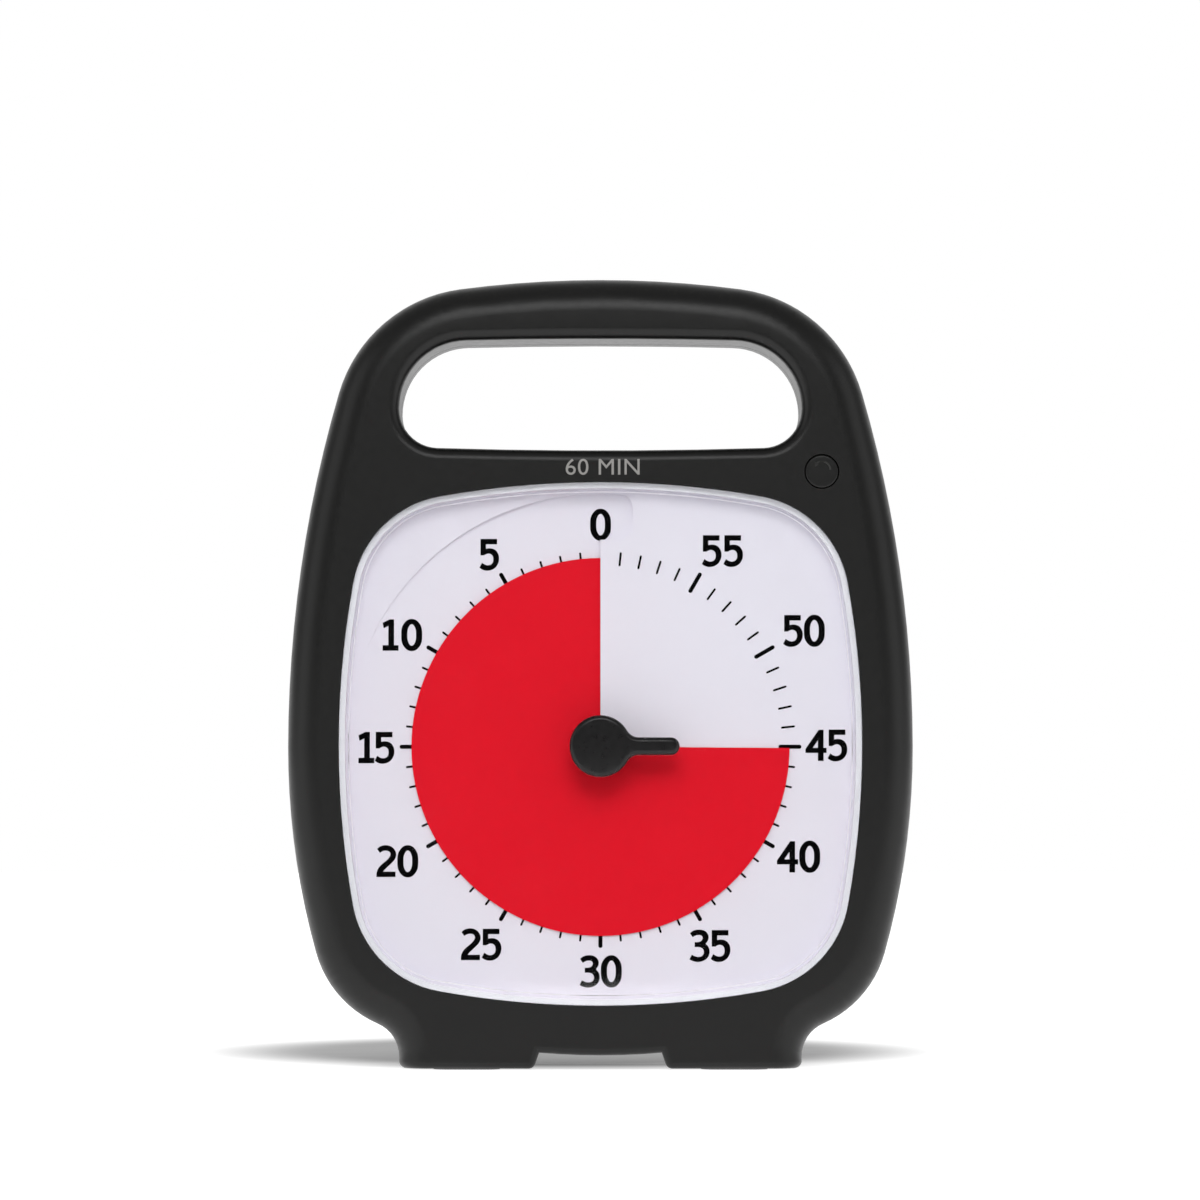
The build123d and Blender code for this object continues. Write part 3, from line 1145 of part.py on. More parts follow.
def speaker_grille():
    """Round insert with level slots over the speaker."""
    outline = speaker_circle(GRILLE_RADIUS)
    for i in range(GRILLE_SLOTS):
        rise = (i - (GRILLE_SLOTS - 1) / 2) * GRILLE_PITCH
        half = sqrt((SPEAKER_RADIUS - GRILLE_LEDGE) ** 2 - rise**2) - GRILLE_SLOT / 2
        outline -= Pos(-SPEAKER_X, SPEAKER_V + rise) * SlotOverall(2 * half, GRILLE_SLOT)
    return back_slab(outline, 0, GRILLE_THICKNESS)


# ================================================================== assembly
def build_parts():
    """Every piece by its node name."""
    front_walls, back_walls, body = shell_halves()
    return {
        "front_housing": front_housing(front_walls, body),
        "rear_housing": rear_housing(back_walls, body),
        "housing_screws": housing_screws(),
        "foot_pads": foot_pads(),
        "lens": lens(),
        "lens_seal": lens_seal(),
        "dial_tray": dial_tray(),
        "dial_screws": small_screws(ear_places(), FLANGE_Y + FLANGE_THICKNESS, DIAL_SCREW_LENGTH, 1),
        "red_disc": red_disc(),
        "disc_hub": disc_hub(),
        "knob": knob(),
        "spindle": spindle(),
        "centre_wheel": centre_wheel(),
        "clutch_spring": clutch_spring(),
        "spindle_bushing": spindle_bushing(),
        "bushing_nut": bushing_nut(),
        "bridge_plate": bridge_plate(),
        "bridge_screws": small_screws(pillar_places(), CASE_Y, BRIDGE_SCREW_LENGTH, 1),
        "movement_case_front": movement_case_front(),
        "movement_case_back": movement_case_back(),
        "idler_gear": idler_gear(),
        "rotor": rotor(),
        "motor_stator": motor_stator(),
        "motor_coil": motor_coil(),
        "reset_button": reset_button(),
        "switch_plunger": switch_plunger(),
        "push_switch": push_switch(),
        "circuit_board": circuit_board(),
        "board_screws": small_screws(board_post_places(), BOARD_Y, BOARD_SCREW_LENGTH, -1),
        "timer_chip": timer_chip(),
        "capacitor": capacitor(),
        "volume_control": volume_control(),
        "volume_wheel": volume_wheel(),
        "speaker": speaker(),
        "speaker_grille": speaker_grille(),
        "battery": battery(),
        "battery_spring": battery_spring(),
        "battery_contact": contact_plate(BAY_LENGTH / 2 - CONTACT_THICKNESS),
        "battery_door": battery_door(),
    }


os.makedirs("parts", exist_ok=True)
for node, shape in build_parts().items():
    export_step(shape, f"parts/{node}.step")
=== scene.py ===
import json
import logging
import math
from dataclasses import dataclass, field
from enum import Enum
from typing import Any, Callable, Iterable

import bmesh
import bpy
from mathutils import Matrix, Vector

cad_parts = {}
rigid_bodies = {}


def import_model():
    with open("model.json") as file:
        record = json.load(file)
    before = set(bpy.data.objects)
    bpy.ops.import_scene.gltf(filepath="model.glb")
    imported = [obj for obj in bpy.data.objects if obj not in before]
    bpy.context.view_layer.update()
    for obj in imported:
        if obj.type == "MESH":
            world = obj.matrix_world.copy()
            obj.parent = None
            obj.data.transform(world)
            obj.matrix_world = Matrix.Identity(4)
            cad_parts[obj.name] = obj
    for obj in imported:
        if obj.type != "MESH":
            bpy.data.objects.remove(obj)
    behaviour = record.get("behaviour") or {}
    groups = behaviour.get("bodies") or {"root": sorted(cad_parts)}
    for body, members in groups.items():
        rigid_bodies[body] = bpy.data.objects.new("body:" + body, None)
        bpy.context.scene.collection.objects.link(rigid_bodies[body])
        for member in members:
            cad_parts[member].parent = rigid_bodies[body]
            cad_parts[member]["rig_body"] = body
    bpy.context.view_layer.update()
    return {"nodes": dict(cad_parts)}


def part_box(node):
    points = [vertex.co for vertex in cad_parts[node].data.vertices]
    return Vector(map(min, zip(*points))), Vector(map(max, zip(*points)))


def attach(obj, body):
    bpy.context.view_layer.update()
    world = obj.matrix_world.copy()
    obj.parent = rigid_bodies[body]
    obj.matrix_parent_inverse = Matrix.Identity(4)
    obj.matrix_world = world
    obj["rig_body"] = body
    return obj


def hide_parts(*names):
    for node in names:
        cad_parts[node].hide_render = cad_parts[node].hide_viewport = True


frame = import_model()

LOG = logging.getLogger("countdown_timer")
MM = 0.001
WELD = 0.002 * MM
DEGREES_PER_MINUTE = 6.0
RAMP_EDGE = 24.0
WHITE = (1.0, 1.0, 1.0, 1.0)

Colour = tuple[float, float, float]
Place = tuple[float, float, float]
Socket = bpy.types.NodeSocket


def from_screen(red: int, green: int, blue: int) -> Colour:
    """Turns a screen colour into the linear colour that a shader takes.

    Args:
        red: Red from 0 to 255.
        green: Green from 0 to 255.
        blue: Blue from 0 to 255.

    Returns:
        The same colour in linear light.
    """
    def linear(level: int) -> float:
        """One channel in linear light."""
        share = level / 255
        return share / 12.92 if share <= 0.04045 else ((share + 0.055) / 1.055) ** 2.4

    return linear(red), linear(green), linear(blue)


# ------------------------------------------------------------------ shader graphs
class Graph:
    """Short way to add and join the nodes of one tree."""

    def __init__(self, tree: bpy.types.NodeTree) -> None:
        """Starts on an empty tree."""
        self.tree = tree
        tree.nodes.clear()

    def feed(self, socket: Socket, value: Any) -> None:
        """Joins a socket to another one, or sets its value."""
        if isinstance(value, bpy.types.NodeSocket):
            self.tree.links.new(value, socket)
        else:
            socket.default_value = value

    def add(self, kind: str, settings: dict[str, Any] | None = None, **inputs: Any) -> bpy.types.Node:
        """Adds a node.

        Args:
            kind: Blender's name of the node, without ShaderNode in front.
            settings: Its options.
            inputs: Its inputs by name, with an underscore for each space.

        Returns:
            The new node.
        """
        node = self.tree.nodes.new(f"ShaderNode{kind}")
        for key, value in (settings or {}).items():
            setattr(node, key, value)
        for key, value in inputs.items():
            self.feed(node.inputs[key.replace("_", " ")], value)
        return node

    def maths(self, operation: str, *terms: Any, clamp: bool = False) -> Socket:
        """Adds one sum, product or other operation on numbers and returns its result."""
        node = self.add("Math", {"operation": operation, "use_clamp": clamp})
        for socket, term in zip(node.inputs, terms):
            self.feed(socket, term)
        return node.outputs[0]

    def blend(self, factor: Any, first: Any, second: Any, mode: str = "MIX") -> Socket:
        """Mixes two colours and returns the result."""
        node = self.add("Mix", {"data_type": "RGBA", "blend_type": mode})
        for index, value in ((0, factor), (6, first), (7, second)):
            self.feed(node.inputs[index], value)
        return node.outputs[2]

    def remap(self, value: Any, low: float, high: float, new_low: float, new_high: float) -> Socket:
        """Maps one range of a value smoothly on another."""
        node = self.add("MapRange", {"interpolation_type": "SMOOTHSTEP"}, Value=value, From_Min=low, From_Max=high)
        self.feed(node.inputs["To Min"], new_low)
        self.feed(node.inputs["To Max"], new_high)
        return node.outputs["Result"]

    def place(self, scale: Place = (1.0, 1.0, 1.0)) -> Socket:
        """Object coordinates, stretched along each axis."""
        coordinates = self.add("TexCoord").outputs["Object"]
        return self.add("Mapping", Vector=coordinates, Scale=scale).outputs["Vector"]

    def noise(self, vector: Any, scale: Any, detail: float = 2.0) -> Socket:
        """Soft noise at a scale, as a value."""
        return self.add("TexNoise", Vector=vector, Scale=scale, Detail=detail).outputs["Fac"]


class Group(Enum):
    """Effects that several finishes share, each a node group."""

    GRAIN = "moulded_grain"
    BRUSHING = "brushed_lines"
    DRIFT = "tone_drift"
    WEAR = "edge_wear"
    DUST = "settled_dust"


class EffectLibrary:
    """Builds each shared node group once and hands it out."""

    SOCKETS: dict[Group, tuple[dict[str, float], dict[str, str]]] = {
        Group.GRAIN: ({"Cells per metre": 2500.0, "Roundness": 0.5},
                      {"Height": "NodeSocketFloat", "Fleck": "NodeSocketFloat"}),
        Group.BRUSHING: ({"Lines per metre": 9000.0}, {"Height": "NodeSocketFloat", "Fleck": "NodeSocketFloat"}),
        Group.DRIFT: ({"Patches per metre": 30.0, "Amount": 0.05}, {"Colour": "NodeSocketColor"}),
        Group.WEAR: ({"Radius": 0.0006}, {"Mask": "NodeSocketFloat"}),
        Group.DUST: ({"Amount": 0.1}, {"Mask": "NodeSocketFloat"}),
    }

    def __init__(self) -> None:
        """Starts with no group built."""
        self.trees: dict[Group, bpy.types.NodeTree] = {}

    def tree(self, effect: Group) -> bpy.types.NodeTree:
        """Gives the node group of an effect, built at its first use."""
        if effect not in self.trees:
            self.trees[effect] = self.build(effect)
        return self.trees[effect]

    def build(self, effect: Group) -> bpy.types.NodeTree:
        """Builds one node group.

        Args:
            effect: Which effect it is.

        Returns:
            The finished group.
        """
        tree = bpy.data.node_groups.new(effect.value, "ShaderNodeTree")
        numbers, results = self.SOCKETS[effect]
        if effect is Group.DRIFT:
            colour = tree.interface.new_socket(name="Colour", in_out="INPUT", socket_type="NodeSocketColor")
            colour.default_value = (0.5, 0.5, 0.5, 1.0)
        for name, value in numbers.items():
            socket = tree.interface.new_socket(name=name, in_out="INPUT", socket_type="NodeSocketFloat")
            socket.default_value = value
        for name, kind in results.items():
            tree.interface.new_socket(name=name, in_out="OUTPUT", socket_type=kind)
        graph = Graph(tree)
        given = graph.tree.nodes.new("NodeGroupInput").outputs
        taken = graph.tree.nodes.new("NodeGroupOutput").inputs
        makers: dict[Group, Callable[[Graph, Any, Any], None]] = {
            Group.GRAIN: self.grain,
            Group.BRUSHING: self.brushing,
            Group.DRIFT: self.drift,
            Group.WEAR: self.wear,
            Group.DUST: self.dust,
        }
        makers[effect](graph, given, taken)
        return tree

    @staticmethod
    def grain(graph: Graph, given: Any, taken: Any) -> None:
        """Pebbled surface of a textured mould: rounded cells with fine noise between them."""
        vector = graph.place()
        cells = graph.add("TexVoronoi", {"feature": "SMOOTH_F1"}, Vector=vector, Scale=given["Cells per metre"])
        graph.feed(cells.inputs["Smoothness"], given["Roundness"])
        fine = graph.noise(vector, graph.maths("MULTIPLY", given["Cells per metre"], 2.3), 3.0)
        height = graph.maths("MULTIPLY_ADD", fine, 0.5, graph.maths("MULTIPLY", cells.outputs["Distance"], 0.6))
        graph.feed(taken["Height"], height)
        broad = graph.maths("MULTIPLY", given["Cells per metre"], 0.21)
        graph.feed(taken["Fleck"], graph.noise(vector, broad, 4.0))

    @staticmethod
    def brushing(graph: Graph, given: Any, taken: Any) -> None:
        """Fine lines along X, as rolled or ground metal has."""
        vector = graph.place((0.02, 1.0, 1.0))
        lines = graph.noise(vector, given["Lines per metre"], 3.0)
        graph.feed(taken["Height"], lines)
        broad = graph.maths("MULTIPLY", given["Lines per metre"], 0.03)
        graph.feed(taken["Fleck"], graph.noise(graph.place(), broad))

    @staticmethod
    def drift(graph: Graph, given: Any, taken: Any) -> None:
        """Slow change of tone over a piece."""
        slow = graph.noise(graph.place(), given["Patches per metre"], 3.0)
        swing = graph.maths("MULTIPLY", graph.maths("SUBTRACT", slow, 0.5), given["Amount"])
        level = graph.maths("MULTIPLY_ADD", swing, 2.0, 1.0)
        grey = graph.add("CombineColor", Red=level, Green=level, Blue=level).outputs["Color"]
        graph.feed(taken["Colour"], graph.blend(1.0, given["Colour"], grey, "MULTIPLY"))

    @staticmethod
    def wear(graph: Graph, given: Any, taken: Any) -> None:
        """Mask along sharp edges, broken up by noise."""
        soft = graph.add("Bevel", {"samples": 4}, Radius=given["Radius"]).outputs["Normal"]
        hard = graph.add("NewGeometry").outputs["Normal"]
        turn = graph.add("VectorMath", {"operation": "DOT_PRODUCT"})
        graph.feed(turn.inputs[0], soft)
        graph.feed(turn.inputs[1], hard)
        edge = graph.remap(turn.outputs["Value"], 0.86, 0.995, 1.0, 0.0)
        patchy = graph.remap(graph.noise(graph.place(), 220.0, 4.0), 0.4, 0.62, 0.0, 1.0)
        graph.feed(taken["Mask"], graph.maths("MULTIPLY", edge, patchy, clamp=True))

    @staticmethod
    def dust(graph: Graph, given: Any, taken: Any) -> None:
        """Mask of fine dust, on faces that look up."""
        normal = graph.add("NewGeometry").outputs["Normal"]
        upward = graph.add("SeparateXYZ", Vector=normal).outputs["Z"]
        lying = graph.remap(upward, 0.35, 1.0, 0.0, 1.0)
        specks = graph.remap(graph.noise(graph.place(), 900.0, 5.0), 0.45, 0.75, 0.25, 1.0)
        graph.feed(taken["Mask"], graph.maths("MULTIPLY", graph.maths("MULTIPLY", lying, specks), given["Amount"]))


EFFECTS = EffectLibrary()


# ------------------------------------------------------------------ finishes
class Surface(Enum):
    """How a surface was made, which decides its texture."""

    MOULDED = Group.GRAIN
    BRUSHED = Group.BRUSHING


@dataclass(frozen=True)
class Finish:
    """An opaque finish with texture, tone and wear of its own."""

    name: str
    slot: str
    tone: Colour
    roughness: float
    surface: Surface = Surface.MOULDED
    metallic: float = 0.0
    cells: float = 2500.0
    depth: float = 0.00002
    gloss_swing: float = 0.08
    drift: float = 0.06
    drift_patches: float = 35.0
    wear: float = 0.0
    worn_tone: Colour = (0.1, 0.1, 0.1)
    dust: float = 0.0
    dust_tone: Colour = (0.42, 0.4, 0.37)
    specular: float = 0.5
    coat: float = 0.0

    def colour(self, graph: Graph) -> Socket:
        """Base colour of the piece before its wear. A variant may draw it in its own way."""
        drifted = graph.tree.nodes.new("ShaderNodeGroup")
        drifted.node_tree = EFFECTS.tree(Group.DRIFT)
        graph.feed(drifted.inputs["Colour"], (*self.tone, 1.0))
        graph.feed(drifted.inputs["Patches per metre"], self.drift_patches)
        graph.feed(drifted.inputs["Amount"], self.drift)
        return drifted.outputs["Colour"]

    def mask(self, graph: Graph, effect: Group, **inputs: float) -> Socket:
        """Places a shared mask and returns it."""
        node = graph.tree.nodes.new("ShaderNodeGroup")
        node.node_tree = EFFECTS.tree(effect)
        for key, value in inputs.items():
            graph.feed(node.inputs[key], value)
        return node.outputs["Mask"]

    def material(self) -> bpy.types.Material:
        """Builds the material, or gives the one that was built before.

        Returns:
            The material of this finish.
        """
        known = bpy.data.materials.get(self.name)
        if known:
            return known
        made = bpy.data.materials.new(self.name)
        made.use_nodes = True
        graph = Graph(made.node_tree)
        texture = graph.tree.nodes.new("ShaderNodeGroup")
        texture.node_tree = EFFECTS.tree(self.surface.value)
        graph.feed(texture.inputs[0], self.cells)
        colour = self.colour(graph)
        if self.wear:
            mask = self.mask(graph, Group.WEAR)
            colour = graph.blend(graph.maths("MULTIPLY", mask, self.wear), colour, (*self.worn_tone, 1.0))
        if self.dust:
            lying = self.mask(graph, Group.DUST, Amount=self.dust)
            colour = graph.blend(lying, colour, (*self.dust_tone, 1.0))
        low, high = self.roughness - self.gloss_swing, self.roughness + self.gloss_swing
        roughness = graph.remap(texture.outputs["Fleck"], 0.3, 0.7, max(low, 0.02), min(high, 1.0))
        bump = graph.add("Bump", Height=texture.outputs["Height"], Distance=self.depth, Strength=1.0)
        shader = graph.add(
            "BsdfPrincipled", Base_Color=colour, Roughness=roughness, Normal=bump.outputs["Normal"],
            Metallic=self.metallic, Specular_IOR_Level=self.specular, Coat_Weight=self.coat,
        )
        graph.feed(graph.add("OutputMaterial").inputs["Surface"], shader.outputs["BSDF"])
        return made


@dataclass(frozen=True)
class BandedCell(Finish):
    """Sleeved battery: bare steel at both ends, and a band of a second colour near one."""

    band: Colour = (0.6, 0.3, 0.1)
    steel: Colour = (0.6, 0.6, 0.62)
    band_x: float = 0.012
    start_x: float = -0.0239
    end_x: float = 0.0253

    def colour(self, graph: Graph) -> Socket:
        """Sleeve, band and bare ends along X."""
        along = graph.add("SeparateXYZ", Vector=graph.place()).outputs["X"]
        past_band = graph.maths("GREATER_THAN", along, self.band_x)
        banded = graph.blend(past_band, super().colour(graph), (*self.band, 1.0))
        before = graph.maths("LESS_THAN", along, self.start_x)
        after = graph.maths("GREATER_THAN", along, self.end_x)
        return graph.blend(graph.maths("ADD", before, after, clamp=True), banded, (*self.steel, 1.0))


@dataclass(frozen=True)
class ClearPlastic:
    """Polished clear plastic that lets light straight through to what it covers."""

    name: str
    slot: str
    tint: Colour
    roughness: float = 0.03
    index: float = 1.49
    specular: float = 0.12

    def material(self) -> bpy.types.Material:
        """Builds the material, or gives the one that was built before."""
        known = bpy.data.materials.get(self.name)
        if known:
            return known
        made = bpy.data.materials.new(self.name)
        made.use_nodes = True
        graph = Graph(made.node_tree)
        smears = graph.noise(graph.place(), 45.0, 5.0)
        roughness = graph.remap(smears, 0.45, 0.8, self.roughness, self.roughness * 2.5)
        ripple = graph.add("Bump", Height=graph.noise(graph.place(), 30.0, 1.0), Distance=0.00001, Strength=0.5)
        clear = graph.add(
            "BsdfPrincipled", Base_Color=(*self.tint, 1.0), Roughness=roughness, IOR=self.index,
            Transmission_Weight=1.0, Specular_IOR_Level=self.specular, Normal=ripple.outputs["Normal"],
        )
        passing = graph.add("BsdfTransparent", Color=(*self.tint, 1.0))
        either = graph.add("MixShader")
        graph.feed(either.inputs[0], graph.add("LightPath").outputs["Is Shadow Ray"])
        graph.feed(either.inputs[1], clear.outputs["BSDF"])
        graph.feed(either.inputs[2], passing.outputs["BSDF"])
        graph.feed(graph.add("OutputMaterial").inputs["Surface"], either.outputs["Shader"])
        return made


STEEL_TONE = (0.56, 0.56, 0.58)
HOUSING = Finish("soft_touch_black", "housing", from_screen(13, 13, 12), 0.36, cells=3200.0, depth=0.000008,
                 specular=0.34, gloss_swing=0.02, wear=0.12, worn_tone=from_screen(60, 58, 55), dust=0.03,
                 drift=0.03)
SMOOTH_BLACK = Finish("smooth_black", "trim_black", from_screen(26, 26, 26), 0.36, cells=4000.0, depth=0.000006)
KNOB_BLACK = Finish("satin_black_knob", "knob", from_screen(14, 13, 14), 0.3, cells=3600.0, depth=0.000006,
                    specular=0.34, gloss_swing=0.03, wear=0.1, worn_tone=from_screen(64, 62, 62))
CLEAR = ClearPlastic("clear_acrylic", "lens", (0.985, 0.985, 0.99))
CLEAR_EDGE = ClearPlastic("clear_acrylic_edge", "lens", (0.97, 0.97, 0.98), roughness=0.4)
# Painted highlight: the arrow is the button's own black plastic, drawn in a lighter grey that stands in for light
# catching its ridges.
ARROW_PAINTED_HIGHLIGHT = Finish("arrow_painted_highlight", "housing", from_screen(52, 52, 50), 0.3, cells=2600.0, depth=0.000005)
FOAM = Finish("white_foam", "seal", from_screen(240, 241, 246), 0.8, cells=3500.0, depth=0.00005)
DIAL_WHITE = Finish("dial_white", "dial", from_screen(233, 231, 240), 0.55, cells=3200.0, depth=0.000006,
                    drift=0.012, drift_patches=18.0)
RED_SHEET = Finish("red_sheet", "red", from_screen(227, 18, 38), 0.66, cells=5200.0, depth=0.000006, drift=0.015,
                   drift_patches=22.0, specular=0.08)
RUBBER = Finish("black_rubber", "rubber", from_screen(34, 34, 34), 0.8, cells=1800.0, depth=0.00003, dust=0.2)
STEEL = Finish("plated_steel", "steel", STEEL_TONE, 0.32, Surface.BRUSHED, 1.0, 9000.0, 0.000006)
BRASS = Finish("turned_brass", "brass", (0.72, 0.52, 0.24), 0.28, Surface.BRUSHED, 1.0, 9000.0, 0.000006)
ACETAL = Finish("natural_acetal", "gear", from_screen(226, 222, 208), 0.42, cells=3000.0, depth=0.000008)
CASE_BLACK = Finish("movement_black", "case", from_screen(42, 42, 45), 0.45, cells=2800.0, depth=0.000012)
COPPER = Finish("lacquered_copper", "copper", (0.62, 0.24, 0.1), 0.3, Surface.BRUSHED, 1.0, 5200.0, 0.00004)
BOARD_GREEN = Finish("board_green", "board", (0.02, 0.15, 0.055), 0.35, cells=1500.0, depth=0.00001, drift=0.2)
EPOXY = Finish("chip_epoxy", "chip", from_screen(34, 34, 36), 0.6, cells=4200.0, depth=0.00001)
SLEEVE = BandedCell("cell_sleeve", "cell", from_screen(48, 50, 54), 0.3, cells=2200.0, depth=0.000005, coat=0.3)
CAN = Finish("capacitor_sleeve", "cell", from_screen(40, 44, 66), 0.35, cells=2200.0, depth=0.000005)
MAGNET = Finish("ferrite", "magnet", from_screen(58, 58, 60), 0.55, cells=2600.0, depth=0.00002)
INK = Finish("black_ink", "dial", from_screen(3, 3, 4), 0.7, cells=6000.0, depth=0.000003, specular=0.03)
GREY_INK = Finish("grey_ink", "housing", from_screen(168, 166, 163), 0.55, cells=6000.0, depth=0.000003, drift=0.03)


# ------------------------------------------------------------------ meshes
def finished(name: str, form: bmesh.types.BMesh, finish: Finish | ClearPlastic, body: str) -> bpy.types.Object:
    """Turns a form into a piece that rides on a body.

    Args:
        name: Name of the piece.
        form: Its form, in metres, which is used up.
        finish: Its finish.
        body: The body that it moves with.

    Returns:
        The piece.
    """
    mesh = bpy.data.meshes.new(name)
    form.to_mesh(mesh)
    form.free()
    mesh.materials.append(finish.material())
    piece = bpy.data.objects.new(name, mesh)
    bpy.context.scene.collection.objects.link(piece)
    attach(piece, body)
    LOG.info("%s rides on %s, %d faces", name, body, len(mesh.polygons))
    return piece


def shade_by_angle(form: bmesh.types.BMesh, degrees: float) -> None:
    """Makes a form smooth, with a hard edge wherever two faces turn by more than an angle."""
    for face in form.faces:
        face.smooth = True
    for edge in form.edges:
        edge.smooth = edge.calc_face_angle(0.0) < math.radians(degrees)


def even_normals(piece: bpy.types.Object) -> None:
    """Lets the large faces of a piece decide its shading, so that flat areas stay flat."""
    modifier = piece.modifiers.new("even_normals", "WEIGHTED_NORMAL")
    modifier.keep_sharp = True
    modifier.weight = 60


def smooth_copy(node: str, finish: Finish | ClearPlastic, degrees: float = 28.0,
                pull: float = 0.0) -> bpy.types.Object:
    """Makes a smoothly shaded copy of a CAD node, which then stands for it.

    Args:
        node: Name of the CAD node.
        finish: Its finish.
        degrees: Two faces that turn by more than this meet in a hard edge.
        pull: How far its back face is drawn in, so that it doesn't lie in the face that carries it.

    Returns:
        The copy.
    """
    source = frame["nodes"][node]
    form = bmesh.new()
    form.from_mesh(source.data)
    bmesh.ops.remove_doubles(form, verts=form.verts, dist=WELD)
    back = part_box(node)[1].y
    behind = [vert for vert in form.verts if pull and back - vert.co.y < pull]
    bmesh.ops.translate(form, verts=behind, vec=(0.0, -pull, 0.0))
    shade_by_angle(form, degrees)
    for layer in [*form.loops.layers.float_vector.values()]:
        form.loops.layers.float_vector.remove(layer)
    piece = finished(f"{node}_surface", form, finish, source["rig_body"])
    even_normals(piece)
    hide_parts(node)
    return piece


def middle(node: str) -> Vector:
    """Gives the centre of a CAD node's box."""
    low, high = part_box(node)
    return (Vector(low) + Vector(high)) / 2


def dress(node: str, finish: Finish) -> None:
    """Gives a CAD node its finish."""
    mesh = frame["nodes"][node].data
    if mesh.materials:
        mesh.materials[0] = finish.material()
    else:
        mesh.materials.append(finish.material())
    LOG.info("%s wears %s", node, finish.name)


def flat_form(curve: bpy.types.Curve, weld: float) -> bmesh.types.BMesh:
    """Turns a filled curve into flat faces and uses the curve up.

    Args:
        curve: The curve or text.
        weld: Points closer together than this become one.

    Returns:
        The faces.
    """
    holder = bpy.data.objects.new("outlines", curve)
    mesh = bpy.data.meshes.new_from_object(holder)
    form = bmesh.new()
    form.from_mesh(mesh)
    bpy.data.objects.remove(holder)
    bpy.data.curves.remove(curve)
    bpy.data.meshes.remove(mesh)
    bmesh.ops.remove_doubles(form, verts=form.verts, dist=weld)
    return form


def lettering(text: str, height: float, stretch: float, spacing: float) -> bmesh.types.BMesh:
    """Makes flat letters in the plane of X and Y, centred on the origin.

    Args:
        text: What they say.
        height: Height of a capital.
        stretch: Their width, as a share of the font's own.
        spacing: Space between letters, as a share of the font's own.

    Returns:
        The letters as flat faces.
    """
    curve = bpy.data.curves.new("letters", "FONT")
    curve.body = text
    curve.align_x = "CENTER"
    curve.space_character = spacing
    curve.resolution_u = 6
    form = flat_form(curve, 0.0001)
    low = Vector([min(v.co[i] for v in form.verts) for i in range(3)])
    high = Vector([max(v.co[i] for v in form.verts) for i in range(3)])
    scale = height / (high.y - low.y)
    bmesh.ops.translate(form, verts=form.verts, vec=-(low + high) / 2)
    bmesh.ops.scale(form, verts=form.verts, vec=(scale * stretch, scale, scale))
    return form


def filled(outlines: Iterable[Iterable[tuple[float, ...]]], growth: float = 0.0) -> bmesh.types.BMesh:
    """Fills closed outlines in the plane of X and Y; one that lies inside another is a hole.

    Args:
        outlines: The points of each outline, in millimetres. A third number marks a point that the
            outline passes smoothly; the other points are corners.
        growth: How much the form grows on every side, in millimetres.

    Returns:
        The filled form, in metres.
    """
    curve = bpy.data.curves.new("outlines", "CURVE")
    curve.dimensions = "2D"
    curve.fill_mode = "BOTH"
    curve.resolution_u = 5
    curve.offset = growth * MM
    for outline in outlines:
        spline = curve.splines.new("BEZIER")
        spline.bezier_points.add(len(outline) - 1)
        spline.use_cyclic_u = True
        for point, (x, y, *smooth) in zip(spline.bezier_points, outline):
            point.co = (x * MM, y * MM, 0.0)
            point.handle_left_type = point.handle_right_type = "AUTO" if smooth else "VECTOR"
    return flat_form(curve, 0.001 * MM)


def rounded_bar(form: bmesh.types.BMesh, length: float, width: float) -> list[bmesh.types.BMVert]:
    """Adds a flat bar with round ends, along +Y from the origin.

    Args:
        form: The form that it is added to.
        length: Its whole length.
        width: Its width.

    Returns:
        Its vertices.
    """
    sides = 16
    turned = Matrix.Rotation(math.pi / sides, 4, "Z")
    made = bmesh.ops.create_circle(form, cap_ends=True, segments=sides, radius=width / 2, matrix=turned)
    for vert in made["verts"]:
        vert.co.y += width / 2 + (length - width if vert.co.y > 0 else 0)
    return made["verts"]


def join(form: bmesh.types.BMesh, other: bmesh.types.BMesh) -> None:
    """Adds another form to a form and uses it up."""
    mesh = bpy.data.meshes.new("joined")
    other.to_mesh(mesh)
    other.free()
    form.from_mesh(mesh)
    bpy.data.meshes.remove(mesh)


def raise_print(form: bmesh.types.BMesh, level: Callable[[Vector], float], proud: float, sunk: float) -> None:
    """Turns flat outlines into a thin layer on a face that looks towards -Y.

    Args:
        form: Flat faces whose X and Y are across and up; they become X and Z.
        level: Depth of the carrying surface at a place.
        proud: How far the layer stands out of the surface.
        sunk: How far it reaches into it.
    """
    for vert in form.verts:
        vert.co = Vector((vert.co.x, 0.0, vert.co.y))
        vert.co.y = level(vert.co) + sunk
    sheet = [*form.faces]
    bmesh.ops.recalc_face_normals(form, faces=sheet)
    walls = bmesh.ops.extrude_face_region(form, geom=sheet)
    top = [item for item in walls["geom"] if isinstance(item, bmesh.types.BMVert)]
    bmesh.ops.translate(form, verts=top, vec=(0.0, -proud - sunk, 0.0))
    bmesh.ops.recalc_face_normals(form, faces=form.faces)


